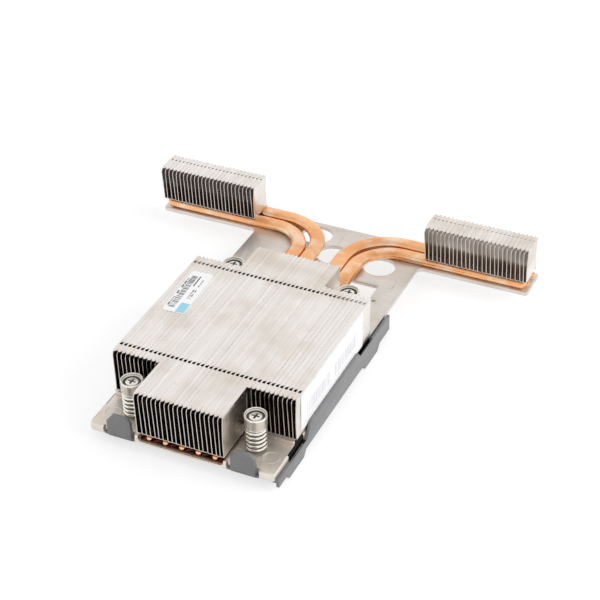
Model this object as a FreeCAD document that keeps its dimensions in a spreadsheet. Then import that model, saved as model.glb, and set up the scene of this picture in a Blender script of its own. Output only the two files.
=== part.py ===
import FreeCAD, Part
import math
import os
import Sketcher

# Passive heatsink for a server processor, in millimetres.
# The origin is the centre of the four captive screws, on the plane that the cover's feet stand on.
# +Z is up, +X runs along the two arms and +Y points from the short front block to the arms.

SIZES = [
    # Protective cover under the base
    ("cover_depth", 6.0),
    ("cover_wall", 1.3),
    ("cover_side_gap", 0.2),
    ("cover_rim_inset", 1.3),
    ("cover_rear_end", 58.0),
    ("cover_skirt_drop", 3.2),
    ("cover_skirt_rise", 3.0),
    ("cover_rear_rise", 4.6),
    ("cover_guard_rise", 7.2),
    ("cover_guard_front", -27.5),
    ("cover_guard_rear", 22.5),
    ("cover_guard_slope", 3.8),
    ("cover_opening_front", -46.6),
    ("cover_opening_front_end", -32.0),
    ("cover_opening_rear", 24.6),
    ("cover_opening_rear_end", 38.6),
    ("cover_opening_width", 0.7),
    ("cover_foot_length", 14.0),
    ("cover_foot_slope", 2.5),
    ("cover_foot_front", -49.0),
    ("cover_foot_rear", 30.0),
    ("cover_tray_half", 21.6),
    ("cover_tray_front", -54.0),
    ("cover_tray_rear", 54.0),
    ("cover_tray_corner", 4.0),
    ("cover_screw_hole", 5.6),
    ("tab_width", 10.9),
    ("tab_thickness", 1.8),
    ("tab_face", 1.0),
    ("tab_rise", 11.8),
    ("tab_corner", 3.0),
    ("tab_bevel_across", 2.6),
    ("tab_bevel_down", 3.4),
    ("tab_arch_half", 2.2),
    ("tab_arch_rise", 0.7),
    ("ear_width", 14.0),
    ("ear_rise", 5.5),
    ("ear_corner", 1.2),
    ("tab_clearance", 0.3),
    # Base plate
    ("base_half_width", 41.9),
    ("base_front", -60.2),
    ("base_rear", 58.0),
    ("base_thickness", 3.3),
    ("base_corner", 2.0),
    ("base_edge_chamfer", 0.5),
    ("front_wall", 1.4),
    ("front_sill", 0.8),
    ("slot_corner", 1.8),
    ("channel_clearance", 0.8),
    # Copper spreader in the channel floor
    ("spreader_rear", 50.0),
    ("spreader_gap", 0.1),
    ("spreader_inset", 0.4),
    ("contact_proud", 1.0),
    ("contact_front", -40.0),
    ("contact_rear", 40.0),
    # Captive screws
    ("screw_pitch_across", 56.0),
    ("screw_pitch_along", 94.0),
    ("screw_bore", 2.6),
    ("screw_fit", 0.1),
    ("thread_radius", 1.75),
    ("thread_length", 3.0),
    ("groove_depth", 0.45),
    ("clip_radius", 4.2),
    ("clip_thickness", 0.6),
    ("clip_play", 0.05),
    ("clip_mouth", 3.4),
    ("shoulder_below_clip", 0.6),
    ("cup_radius", 4.8),
    ("cup_height", 4.8),
    ("cup_rim", 0.75),
    ("cup_depth", 2.4),
    ("drive_radius", 2.9),
    ("drive_rise", 1.5),
    ("drive_recess_depth", 1.1),
    ("drive_recess_length", 3.8),
    ("drive_recess_width", 0.9),
    ("spring_length", 12.3),
    ("spring_radius", 3.9),
    ("spring_wire", 1.2),
    ("spring_turns", 5.0),
    ("spring_end_gap", 0.1),
    ("spring_well_gap", 0.7),
    # Carrier plate
    ("carrier_thickness", 1.8),
    ("carrier_half_width", 41.5),
    ("carrier_front", -40.0),
    ("carrier_corner", 1.5),
    ("carrier_fillet", 3.0),
    ("arm_front", 97.9),
    ("arm_rear", 115.0),
    ("arm_left_end", 91.5),
    ("arm_right_end", 94.2),
    ("window_half_width", 30.5),
    ("window_corner", 0.8),
    ("lightening_hole", 7.5),
    ("lightening_hole_one_across", -12.6),
    ("lightening_hole_one_along", 104.8),
    ("lightening_hole_two_across", 0.8),
    ("lightening_hole_two_along", 92.0),
    ("lightening_hole_three_across", 24.9),
    ("lightening_hole_three_along", 91.3),
    ("locating_hole", 1.9),
    ("locating_hole_across", 32.8),
    ("locating_hole_along", 64.6),
    # Heat pipes, flattened from round tube
    ("pipe_diameter", 6.0),
    ("pipe_height", 3.8),
    ("pipe_pitch", 7.5),
    ("pipe_front_end", -56.0),
    ("pipe_centre_end", 50.0),
    ("pipe_left_end", 88.4),
    ("pipe_right_end", 91.2),
    ("pipe_rise_run", 19.0),
    ("pipe_rise_gap", 0.8),
    ("outer_bend_radius", 17.5),
    ("inner_bend_radius", 22.0),
    ("outer_lane", 102.3),
    ("inner_lane", 110.8),
    ("tip_taper", 1.4),
    ("tip_length", 1.3),
    ("tip_width", 2.6),
    ("tip_height", 2.0),
    # Folded fins
    ("fin_sheet", 0.4),
    ("fin_bend", 0.85),
    ("flange_overlap", 0.15),
    ("fin_top", 25.4),
    ("stack_half_width", 41.78),
    ("fins_long", 21),
    ("fins_short", 11),
    ("main_front", -38.2),
    ("main_rear", 39.2),
    ("block_front", -60.0),
    ("block_rear", 56.6),
    ("lock_inset", 5.4),
    ("lock_length", 1.3),
    ("lock_width", 0.8),
    ("wing_fins", 25),
    ("fin_pitch", 1.98),
    ("wing_inner", 43.1),
    ("wing_front", 100.0),
    ("wing_rear", 113.4),
    ("wing_height", 17.1),
    ("wing_lock_inset", 4.7),
    # Stickers
    ("sticker_thickness", 0.12),
    ("top_sticker_width", 10.2),
    ("top_sticker_length", 31.6),
    ("top_sticker_across", -32.2),
    ("top_sticker_along", 11.6),
    ("top_sticker_turn", 2.4),
    ("sticker_corner", 0.8),
    ("side_sticker_front", -34.0),
    ("side_sticker_rear", 30.0),
    ("side_sticker_margin", 1.0),
    # How far a cut runs past the metal that it opens
    ("cut_margin", 1.0),
]

doc = FreeCAD.newDocument("PassiveHeatsink")
sheet = doc.addObject("Spreadsheet::Sheet", "Sizes")
for row, (alias, number) in enumerate(SIZES, start=1):
    sheet.set("A%d" % row, alias)
    sheet.set("B%d" % row, str(number))
    sheet.setAlias("B%d" % row, alias)
doc.recompute()


# Heights and places worked out from the sizes
BASE_BOTTOM = "Sizes.cover_depth"
BASE_TOP = "(Sizes.cover_depth + Sizes.base_thickness)"
CARRIER_TOP = "(Sizes.cover_depth + Sizes.base_thickness + Sizes.carrier_thickness)"
PIPE_FLOOR = "(Sizes.base_thickness + Sizes.carrier_thickness - Sizes.pipe_height)"
PIPE_WIDTH = "(Sizes.pipe_height + %.9f * (Sizes.pipe_diameter - Sizes.pipe_height))" % (math.pi / 2)
CHANNEL_HALF = "(2 * Sizes.pipe_pitch + %s / 2 + Sizes.channel_clearance)" % PIPE_WIDTH
RISE_START = "(Sizes.block_rear + Sizes.pipe_rise_gap)"
RISE_END = "(%s + Sizes.pipe_rise_run)" % RISE_START
WING_BOTTOM = "(%s + Sizes.pipe_height)" % CARRIER_TOP
STACK_HALF = "Sizes.stack_half_width"
FIN_COUNT = "(Sizes.fins_long + 2 * Sizes.fins_short)"
MAIN_PITCH = "((2 * %s - Sizes.fin_sheet) / (%s - 1))" % (STACK_HALF, FIN_COUNT)
BLOCK_HALF = "(((Sizes.fins_long - 1) * %s + Sizes.fin_sheet) / 2)" % MAIN_PITCH
FIN_HEIGHT = "(Sizes.fin_top - Sizes.base_thickness - Sizes.carrier_thickness)"
SCREW_ACROSS = "(Sizes.screw_pitch_across / 2)"
SCREW_ALONG = "(Sizes.screw_pitch_along / 2)"
SPRING_OUTER = "(Sizes.spring_radius + Sizes.spring_wire / 2)"
COVER_OUTER = "(Sizes.base_half_width + Sizes.cover_side_gap + Sizes.cover_wall)"


def value(expression):
    """The number that an expression has with the sizes as they stand."""
    result = sheet.evalExpression(expression)
    return float(getattr(result, "Value", result))


def new_body(name):
    body = doc.addObject("PartDesign::Body", name)
    body.Label = name
    return body


def place_body(body, across="0", along="0", height="0"):
    for axis, expression in (("x", across), ("y", along), ("z", height)):
        if expression != "0":
            body.setExpression("Placement.Base." + axis, expression)


def origin_feature(body, role):
    for feature in body.Origin.OriginFeatures:
        if feature.Role == role:
            return feature
    raise ValueError("no origin feature " + role)


def new_sketch(body, name, plane="XY_Plane", offset="0"):
    """A sketch on one of the body's origin planes, moved along the plane's normal by offset."""
    sketch = body.newObject("Sketcher::SketchObject", name)
    sketch.AttachmentSupport = [(origin_feature(body, plane), "")]
    sketch.MapMode = "FlatFace"
    if offset != "0":
        sketch.setExpression("AttachmentOffset.Base.z", offset)
    return sketch


def bind(sketch, constraint, name, expression):
    index = sketch.addConstraint(constraint)
    sketch.renameConstraint(index, name)
    sketch.setExpression("Constraints." + name, expression)


def draw_rectilinear(sketch, prefix, edges, rounds=None):
    """Closed outline of level and upright lines.

    edges gives each line in turn: ("x", place) is upright at that place, ("y", place) is level.
    rounds gives the corner radius after the line of that index, for the corners that are round.
    """
    rounds = rounds or {}
    count = len(edges)
    places = [value(expression) for _, expression in edges]
    corners = []
    for index in range(count):
        following = (index + 1) % count
        if edges[index][0] == "x":
            corners.append(FreeCAD.Vector(places[index], places[following], 0))
        else:
            corners.append(FreeCAD.Vector(places[following], places[index], 0))
    lines = []
    for index in range(count):
        start, end = corners[index - 1], corners[index]
        direction = (end - start).normalize()
        if (index - 1) % count in rounds:
            start = start + direction * value(rounds[(index - 1) % count])
        if index in rounds:
            end = end - direction * value(rounds[index])
        lines.append(sketch.addGeometry(Part.LineSegment(start, end)))
    for index, (axis, expression) in enumerate(edges):
        upright = axis == "x"
        sketch.addConstraint(Sketcher.Constraint("Vertical" if upright else "Horizontal", lines[index]))
        if expression == "0":
            sketch.addConstraint(Sketcher.Constraint("PointOnObject", lines[index], 1, -2 if upright else -1))
        else:
            kind = "DistanceX" if upright else "DistanceY"
            place = Sketcher.Constraint(kind, -1, 1, lines[index], 1, places[index])
            bind(sketch, place, "%s_edge_%d" % (prefix, index), expression)
    for index in range(count):
        following = (index + 1) % count
        if index in rounds:
            round_corner(sketch, prefix, index, corners, lines[index], lines[following], rounds[index])
        else:
            sketch.addConstraint(Sketcher.Constraint("Coincident", lines[index], 2, lines[following], 1))


def round_corner(sketch, prefix, index, corners, line, next_line, radius_expression):
    radius = value(radius_expression)
    corner = corners[index]
    incoming = (corner - corners[index - 1]).normalize()
    outgoing = (corners[(index + 1) % len(corners)] - corner).normalize()
    left_turn = incoming.x * outgoing.y - incoming.y * outgoing.x > 0
    centre = corner - incoming * radius + outgoing * radius
    first = corner - incoming * radius - centre
    last = corner + outgoing * radius - centre
    if not left_turn:
        first, last = last, first
    start = math.atan2(first.y, first.x)
    circle = Part.Circle(centre, FreeCAD.Vector(0, 0, 1), radius)
    arc = sketch.addGeometry(Part.ArcOfCircle(circle, start, start + math.pi / 2))
    at_line, at_next = (1, 2) if left_turn else (2, 1)
    sketch.addConstraint(Sketcher.Constraint("Tangent", line, 2, arc, at_line))
    sketch.addConstraint(Sketcher.Constraint("Tangent", arc, at_next, next_line, 1))
    size = Sketcher.Constraint("Radius", arc, radius)
    bind(sketch, size, "%s_round_%d" % (prefix, index), radius_expression)


def draw_rectangle(sketch, prefix, left, right, low, high, rounds=None):
    """Rectangle drawn from its low edge; round corners count low right, high right, high left, low left."""
    draw_rectilinear(sketch, prefix, [("y", low), ("x", right), ("y", high), ("x", left)], rounds)


def draw_polygon(sketch, prefix, corners):
    """Closed outline of straight lines; corners gives the across and up expressions of each."""
    points = [FreeCAD.Vector(value(across), value(up), 0) for across, up in corners]
    lines = [sketch.addGeometry(Part.LineSegment(start, end))
             for start, end in zip(points, points[1:] + points[:1])]
    for index, (across, up) in enumerate(corners):
        sketch.addConstraint(Sketcher.Constraint("Coincident", lines[index - 1], 2, lines[index], 1))
        places = (("DistanceX", "across", across, points[index].x), ("DistanceY", "up", up, points[index].y))
        for kind, name, expression, number in places:
            place = Sketcher.Constraint(kind, -1, 1, lines[index], 1, number)
            bind(sketch, place, "%s_%s_%d" % (prefix, name, index), expression)


def draw_circle(sketch, prefix, across, along, radius):
    centre = FreeCAD.Vector(value(across), value(along), 0)
    circle = sketch.addGeometry(Part.Circle(centre, FreeCAD.Vector(0, 0, 1), value(radius)))
    places = (("DistanceX", "across", across, -2), ("DistanceY", "along", along, -1))
    for kind, name, expression, axis in places:
        if expression == "0":
            sketch.addConstraint(Sketcher.Constraint("PointOnObject", circle, 3, axis))
        else:
            place = Sketcher.Constraint(kind, -1, 1, circle, 3, value(expression))
            bind(sketch, place, "%s_%s" % (prefix, name), expression)
    bind(sketch, Sketcher.Constraint("Radius", circle, value(radius)), prefix + "_radius", radius)


def pad(body, sketch, name, length, reverse=False):
    feature = body.newObject("PartDesign::Pad", name)
    feature.Profile = sketch
    feature.Reversed = reverse
    feature.setExpression("Length", length)
    sketch.Visibility = False
    return feature


def pocket(body, sketch, name, length=None, reverse=False):
    """Cut against the sketch's normal, or along it when reversed; right through when no length is given."""
    feature = body.newObject("PartDesign::Pocket", name)
    feature.Profile = sketch
    feature.Reversed = reverse
    if length is None:
        feature.Type = "ThroughAll"
        feature.Midplane = True
    else:
        feature.setExpression("Length", length)
    sketch.Visibility = False
    return feature


def top_face(feature):
    """The name of the highest level face of a feature."""
    heights = [face.CenterOfMass.z for face in feature.Shape.Faces]
    return "Face%d" % (heights.index(max(heights)) + 1)


def screw_places():
    """Name, across and along expressions of each captive screw."""
    places = []
    for end, along_sign in (("front", "-"), ("rear", "")):
        for side, across_sign in (("left", "-"), ("right", "")):
            places.append((end + "_" + side, across_sign + SCREW_ACROSS, along_sign + SCREW_ALONG))
    return places


# Base plate
def make_base_plate():
    body = new_body("base_plate")
    place_body(body, height=BASE_BOTTOM)
    half = "Sizes.base_half_width"
    sketch = new_sketch(body, "base_outline")
    corner = "Sizes.base_corner"
    draw_rectangle(sketch, "outline", "-" + half, half, "Sizes.base_front", "Sizes.base_rear",
                   {0: corner, 1: corner, 2: corner, 3: corner})
    slab = pad(body, sketch, "base_slab", "Sizes.base_thickness")
    doc.recompute()
    edge = body.newObject("PartDesign::Chamfer", "top_edge")
    edge.Base = (slab, [top_face(slab)])
    edge.setExpression("Size", "Sizes.base_edge_chamfer")

    sketch = new_sketch(body, "channel_outline", offset="Sizes.base_thickness")
    inside_front = "(Sizes.base_front + Sizes.front_wall)"
    past_rear = "(Sizes.base_rear + Sizes.cut_margin)"
    draw_rectangle(sketch, "channel", "-" + CHANNEL_HALF, CHANNEL_HALF, inside_front, past_rear)
    pocket(body, sketch, "pipe_channel", "(Sizes.base_thickness - %s)" % PIPE_FLOOR)

    sketch = new_sketch(body, "spreader_window_outline")
    spreader_half = "(%s - Sizes.spreader_inset)" % CHANNEL_HALF
    draw_rectangle(sketch, "window", "-" + spreader_half, spreader_half, inside_front, "Sizes.spreader_rear")
    pocket(body, sketch, "spreader_window")

    sketch = new_sketch(body, "front_slot_outline", "XZ_Plane", "(Sizes.cut_margin - Sizes.base_front)")
    slot_round = "Sizes.slot_corner"
    draw_rectangle(sketch, "slot", "-" + CHANNEL_HALF, CHANNEL_HALF, "Sizes.front_sill",
                   "(Sizes.base_thickness + Sizes.cut_margin)", {0: slot_round, 3: slot_round})
    pocket(body, sketch, "front_slot", "(Sizes.front_wall + Sizes.cut_margin)")

    sketch = new_sketch(body, "screw_bores_outline")
    for name, across, along in screw_places():
        draw_circle(sketch, name, across, along, "Sizes.screw_bore")
    pocket(body, sketch, "screw_bores")

    sketch = new_sketch(body, "tab_notches_outline")
    for side, sign in (("left", "-"), ("right", "")):
        centre = sign + SCREW_ACROSS
        half_notch = "(Sizes.ear_width / 2 + Sizes.tab_clearance)"
        draw_rectangle(sketch, side, "(%s - %s)" % (centre, half_notch), "(%s + %s)" % (centre, half_notch),
                       "(Sizes.base_front - Sizes.cut_margin)",
                       "(Sizes.base_front + Sizes.tab_thickness + Sizes.tab_clearance)")
    pocket(body, sketch, "tab_notches")


# Copper spreader
def make_copper_spreader():
    """A slab flush in the base, with a contact face that stands proud of it under the processor."""
    body = new_body("copper_spreader")
    place_body(body, height=BASE_BOTTOM)
    half = "(%s - Sizes.spreader_inset - Sizes.spreader_gap)" % CHANNEL_HALF
    sketch = new_sketch(body, "spreader_outline")
    draw_rectangle(sketch, "spreader", "-" + half, half,
                   "(Sizes.base_front + Sizes.front_wall + Sizes.spreader_gap)",
                   "(Sizes.spreader_rear - Sizes.spreader_gap)")
    pad(body, sketch, "spreader_slab", PIPE_FLOOR)
    sketch = new_sketch(body, "contact_outline")
    draw_rectangle(sketch, "contact", "-" + half, half, "Sizes.contact_front", "Sizes.contact_rear")
    pad(body, sketch, "contact_face", "Sizes.contact_proud", reverse=True)


# Carrier plate
def make_carrier_plate():
    body = new_body("carrier_plate")
    place_body(body, height=BASE_TOP)
    half = "Sizes.carrier_half_width"
    corner = "Sizes.carrier_corner"
    fillet = "Sizes.carrier_fillet"
    sketch = new_sketch(body, "carrier_outline")
    edges = [
        ("y", "Sizes.carrier_front"),
        ("x", half),
        ("y", "Sizes.arm_front"),
        ("x", "Sizes.arm_right_end"),
        ("y", "Sizes.arm_rear"),
        ("x", "-Sizes.arm_left_end"),
        ("y", "Sizes.arm_front"),
        ("x", "-" + half),
    ]
    draw_rectilinear(sketch, "plate", edges,
                     {0: corner, 1: fillet, 2: corner, 3: corner, 4: corner, 5: corner, 6: fillet, 7: corner})
    pad(body, sketch, "carrier_sheet", "Sizes.carrier_thickness")

    sketch = new_sketch(body, "pipe_opening_outline")
    window = "Sizes.window_half_width"
    edges = [
        ("y", "(Sizes.carrier_front - Sizes.cut_margin)"),
        ("x", CHANNEL_HALF),
        ("y", RISE_START),
        ("x", window),
        ("y", RISE_END),
        ("x", "-" + window),
        ("y", RISE_START),
        ("x", "-" + CHANNEL_HALF),
    ]
    window_rounds = {index: "Sizes.window_corner" for index in (2, 3, 4, 5)}
    draw_rectilinear(sketch, "opening", edges, window_rounds)
    pocket(body, sketch, "pipe_opening")

    sketch = new_sketch(body, "plate_holes_outline")
    for number in ("one", "two", "three"):
        draw_circle(sketch, "hole_" + number, "Sizes.lightening_hole_%s_across" % number,
                    "Sizes.lightening_hole_%s_along" % number, "Sizes.lightening_hole")
    for name, across, along in screw_places():
        if name.startswith("rear"):
            draw_circle(sketch, name, across, along, "(%s + Sizes.spring_well_gap)" % SPRING_OUTER)
    square = "(Sizes.locating_hole / 2)"
    draw_rectangle(sketch, "locating",
                   "(Sizes.locating_hole_across - %s)" % square, "(Sizes.locating_hole_across + %s)" % square,
                   "(Sizes.locating_hole_along - %s)" % square, "(Sizes.locating_hole_along + %s)" % square)
    pocket(body, sketch, "plate_holes")


# Heat pipes
def stadium(centre, across, upward, width, height):
    """Flattened tube section: two level lines joined by half rounds."""
    radius = height / 2
    reach = width / 2 - radius
    low_left = centre - across * reach - upward * radius
    low_right = centre + across * reach - upward * radius
    high_right = centre + across * reach + upward * radius
    high_left = centre - across * reach + upward * radius
    right = centre + across * (width / 2)
    left = centre - across * (width / 2)
    return Part.Wire([
        Part.LineSegment(low_left, low_right).toShape(),
        Part.Arc(low_right, right, high_right).toShape(),
        Part.LineSegment(high_right, high_left).toShape(),
        Part.Arc(high_left, left, low_left).toShape(),
    ])


def swaged_tip(start, outward, across, upward):
    """The crimped end of a pipe: a short taper to a small flat nib."""
    width = value(PIPE_WIDTH)
    height = value("Sizes.pipe_height")
    taper_end = start + outward * value("Sizes.tip_taper")
    nib = (value("Sizes.tip_width"), value("Sizes.tip_height"))
    taper = Part.makeLoft([stadium(start, across, upward, width, height),
                           stadium(taper_end, across, upward, *nib)], True, True)
    end = Part.Face(stadium(taper_end, across, upward, *nib)).extrude(outward * value("Sizes.tip_length"))
    return [taper, end]


def bent(section, centre, axis, degrees):
    """The solid that a section sweeps as it turns about an axis."""
    return section.revolve(centre, axis, degrees)


def rise_pieces(section, across, low, high):
    """Two equal arcs that lift a pipe from the channel onto the carrier plate."""
    start = value(RISE_START)
    run = value(RISE_END) - start
    climb = high - low
    radius = (run * run + climb * climb) / (4 * climb)
    turn = math.degrees(math.asin(run / 2 / radius))
    over = FreeCAD.Vector(1, 0, 0)
    foot = section.translated(FreeCAD.Vector(across, start, low))
    crest = section.translated(FreeCAD.Vector(across, start + run, high))
    return [bent(foot, FreeCAD.Vector(across, start, low + radius), over, turn),
            bent(crest, FreeCAD.Vector(across, start + run, high - radius), over, turn)]


def bent_pipe(side, lane, arm_lane, radius, end):
    """A pipe that leaves the channel, climbs onto the carrier and turns along an arm."""
    over = FreeCAD.Vector(1, 0, 0)
    along = FreeCAD.Vector(0, 1, 0)
    upward = FreeCAD.Vector(0, 0, 1)
    low = value(BASE_BOTTOM) + value(PIPE_FLOOR) + value("Sizes.pipe_height") / 2
    high = value(CARRIER_TOP) + value("Sizes.pipe_height") / 2
    across = side * lane
    front = FreeCAD.Vector(across, value("Sizes.pipe_front_end"), low)
    foot = FreeCAD.Vector(across, value(RISE_START), low)
    crest = FreeCAD.Vector(across, value(RISE_END), high)
    bend_start = FreeCAD.Vector(across, arm_lane - radius, high)
    bend_end = FreeCAD.Vector(across + side * radius, arm_lane, high)
    arm_end = FreeCAD.Vector(side * end, arm_lane, high)
    width = value(PIPE_WIDTH)
    height = value("Sizes.pipe_height")
    section = Part.Face(stadium(FreeCAD.Vector(), over, upward, width, height))
    arm_section = Part.Face(stadium(bend_end, along, upward, width, height))
    pieces = [section.translated(front).extrude(foot - front)]
    pieces += rise_pieces(section, across, low, high)
    pieces.append(section.translated(crest).extrude(bend_start - crest))
    turning_point = FreeCAD.Vector(across + side * radius, arm_lane - radius, high)
    pieces.append(bent(section.translated(bend_start), turning_point, upward, -90 * side))
    pieces.append(arm_section.extrude(arm_end - bend_end))
    pieces += swaged_tip(front, -along, over, upward)
    pieces += swaged_tip(arm_end, over * side, along, upward)
    return pieces[0].multiFuse(pieces[1:]).removeSplitter()


def add_feature(name, shape):
    feature = doc.addObject("Part::Feature", name)
    feature.Label = name
    feature.Shape = shape
    feature.Placement = FreeCAD.Placement()


def make_bent_pipes():
    pitch = value("Sizes.pipe_pitch")
    lanes = (("outer", 2 * pitch, "Sizes.outer_lane", "Sizes.outer_bend_radius"),
             ("inner", pitch, "Sizes.inner_lane", "Sizes.inner_bend_radius"))
    for side_name, side in (("left", -1), ("right", 1)):
        end = value("Sizes.pipe_%s_end" % side_name)
        for lane_name, lane, arm_lane, radius in lanes:
            add_feature("heat_pipe_%s_%s" % (side_name, lane_name),
                        bent_pipe(side, lane, value(arm_lane), value(radius), end))


def make_centre_pipe():
    along = FreeCAD.Vector(0, 1, 0)
    over = FreeCAD.Vector(1, 0, 0)
    upward = FreeCAD.Vector(0, 0, 1)
    low = value(BASE_BOTTOM) + value(PIPE_FLOOR) + value("Sizes.pipe_height") / 2
    front = FreeCAD.Vector(0, value("Sizes.pipe_front_end"), low)
    rear = FreeCAD.Vector(0, value("Sizes.pipe_centre_end"), low)
    profile = stadium(front, over, upward, value(PIPE_WIDTH), value("Sizes.pipe_height"))
    tube = Part.Face(profile).extrude(rear - front)
    tips = swaged_tip(front, -along, over, upward) + swaged_tip(rear, along, over, upward)
    add_feature("heat_pipe_centre", tube.multiFuse(tips).removeSplitter())


# Folded fins
def draw_fin(sketch, height, pitch):
    """C section of one folded fin: its plate at the origin, and flanges that hook under the next bend."""
    sheet_metal = "Sizes.fin_sheet"
    bend = "Sizes.fin_bend"
    flange_end = "(%s + Sizes.flange_overlap)" % pitch
    edges = [
        ("y", "0"),
        ("x", flange_end),
        ("y", sheet_metal),
        ("x", sheet_metal),
        ("y", "(%s - %s)" % (height, sheet_metal)),
        ("x", flange_end),
        ("y", height),
        ("x", "0"),
    ]
    draw_rectilinear(sketch, "fin", edges, {6: bend, 7: bend})


def repeat(body, originals, count, pitch):
    doc.recompute()
    pattern = body.newObject("PartDesign::LinearPattern", "fin_row_%d" % len(body.Group))
    pattern.Originals = originals
    pattern.Direction = (origin_feature(body, "X_Axis"), [""])
    pattern.Mode = "Spacing"
    pattern.setExpression("Offset", pitch)
    pattern.setExpression("Occurrences", count)
    body.Tip = pattern
    return pattern


def draw_locks(sketch, places, pitch):
    """Slots where the next fin's tongue hooks through the top flange."""
    for index, place in enumerate(places):
        draw_rectangle(sketch, "lock_%d" % index,
                       "(%s - Sizes.lock_width)" % pitch, pitch,
                       "(%s - Sizes.lock_length / 2)" % place, "(%s + Sizes.lock_length / 2)" % place)


def make_fin_stack(name, left, bottom, height, span, count, pitch, locks, closing_plate):
    """A row of folded fins hooked together, with a flat plate on the last one where it is closed."""
    body = new_body(name)
    place_body(body, across=left, height=bottom)
    front, rear = span
    length = "(%s - %s)" % (rear, front)
    sketch = new_sketch(body, name + "_section", "XZ_Plane", "-" + rear)
    draw_fin(sketch, height, pitch)
    fin = pad(body, sketch, name + "_fin", length)
    originals = [fin]
    if locks:
        slots = new_sketch(body, name + "_lock_outline", offset=height)
        draw_locks(slots, locks, pitch)
        originals.append(pocket(body, slots, name + "_locks", "Sizes.fin_sheet"))
    repeat(body, originals, count, pitch)
    if closing_plate:
        sketch = new_sketch(body, name + "_end_section", "XZ_Plane", "-" + rear)
        start = "(%s * %s)" % (count, pitch)
        draw_rectangle(sketch, "plate", start, "(%s + Sizes.fin_sheet)" % start, "0", height)
        body.Tip = pad(body, sketch, name + "_end_plate", length)
    return body


def make_main_stacks():
    locks = ["(Sizes.main_front + Sizes.lock_inset)", "(Sizes.main_rear - Sizes.lock_inset)"]
    short_span = ("Sizes.main_front", "Sizes.main_rear")
    long_span = ("Sizes.block_front", "Sizes.block_rear")
    make_fin_stack("fin_stack_left", "-" + STACK_HALF, CARRIER_TOP, FIN_HEIGHT,
                   short_span, "Sizes.fins_short", MAIN_PITCH, locks, False)
    right_start = "(%s - Sizes.fin_sheet - (Sizes.fins_short - 1) * %s)" % (STACK_HALF, MAIN_PITCH)
    make_fin_stack("fin_stack_right", right_start, CARRIER_TOP, FIN_HEIGHT,
                   short_span, "(Sizes.fins_short - 1)", MAIN_PITCH, locks, True)
    centre = make_fin_stack("fin_stack_centre", "-" + BLOCK_HALF, CARRIER_TOP, FIN_HEIGHT,
                            long_span, "(Sizes.fins_long - 1)", MAIN_PITCH, locks, True)
    add_short_flanges(centre)


def add_short_flanges(body):
    """The last long fin keeps its flanges only where the short fins stand beside it."""
    start = "((Sizes.fins_long - 1) * %s)" % MAIN_PITCH
    end = "(%s + %s)" % (start, MAIN_PITCH)
    inside = "(%s + Sizes.fin_sheet)" % start
    sketch = new_sketch(body, "short_flange_section", "XZ_Plane", "-Sizes.main_rear")
    draw_rectangle(sketch, "low", inside, end, "0", "Sizes.fin_sheet")
    draw_rectangle(sketch, "high", inside, end, "(%s - Sizes.fin_sheet)" % FIN_HEIGHT, FIN_HEIGHT)
    body.Tip = pad(body, sketch, "short_flanges", "(Sizes.main_rear - Sizes.main_front)")


def make_wing_stacks():
    width = "(Sizes.wing_fins * Sizes.fin_pitch + Sizes.fin_sheet)"
    locks = ["(Sizes.wing_rear - Sizes.wing_lock_inset)"]
    span = ("Sizes.wing_front", "Sizes.wing_rear")
    for side, left in (("left", "-(Sizes.wing_inner + %s)" % width), ("right", "Sizes.wing_inner")):
        make_fin_stack("fin_stack_%s_wing" % side, left, WING_BOTTOM, "Sizes.wing_height",
                       span, "Sizes.wing_fins", "Sizes.fin_pitch", locks, True)


# Captive screws, their springs and clips
def make_screw(name, across, along):
    body = new_body("captive_screw_" + name)
    place_body(body, across, along, BASE_BOTTOM)
    shank = "(Sizes.screw_bore - Sizes.screw_fit)"
    groove = "(%s - Sizes.groove_depth)" % shank
    clip_low = "(0 - Sizes.clip_thickness - Sizes.clip_play)"
    shoulder = "(%s - Sizes.shoulder_below_clip)" % clip_low
    cup_low = "(Sizes.base_thickness + Sizes.spring_length + Sizes.spring_end_gap)"
    cup_high = "(%s + Sizes.cup_height)" % cup_low
    cup_floor = "(%s - Sizes.cup_depth)" % cup_high
    edges = [
        ("x", "0"),
        ("y", "(%s - Sizes.thread_length)" % shoulder),
        ("x", "Sizes.thread_radius"),
        ("y", shoulder),
        ("x", shank),
        ("y", clip_low),
        ("x", groove),
        ("y", "Sizes.clip_play"),
        ("x", shank),
        ("y", cup_low),
        ("x", "Sizes.cup_radius"),
        ("y", cup_high),
        ("x", "(Sizes.cup_radius - Sizes.cup_rim)"),
        ("y", cup_floor),
        ("x", "Sizes.drive_radius"),
        ("y", "(%s + Sizes.drive_rise)" % cup_floor),
    ]
    sketch = new_sketch(body, "screw_%s_profile" % name, "XZ_Plane")
    draw_rectilinear(sketch, "screw", edges)
    turned = body.newObject("PartDesign::Revolution", "screw_%s_turned" % name)
    turned.Profile = sketch
    turned.ReferenceAxis = (sketch, ["V_Axis"])
    turned.Angle = 360
    sketch = new_sketch(body, "screw_%s_recess_outline" % name, offset="(%s + Sizes.drive_rise)" % cup_floor)
    long_half = "(Sizes.drive_recess_length / 2)"
    short_half = "(Sizes.drive_recess_width / 2)"
    cross = [
        ("y", "-" + long_half), ("x", short_half), ("y", "-" + short_half), ("x", long_half),
        ("y", short_half), ("x", short_half), ("y", long_half), ("x", "-" + short_half),
        ("y", short_half), ("x", "-" + long_half), ("y", "-" + short_half), ("x", "-" + short_half),
    ]
    draw_rectilinear(sketch, "cross", cross)
    pocket(body, sketch, "screw_%s_recess" % name, "Sizes.drive_recess_depth")


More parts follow.
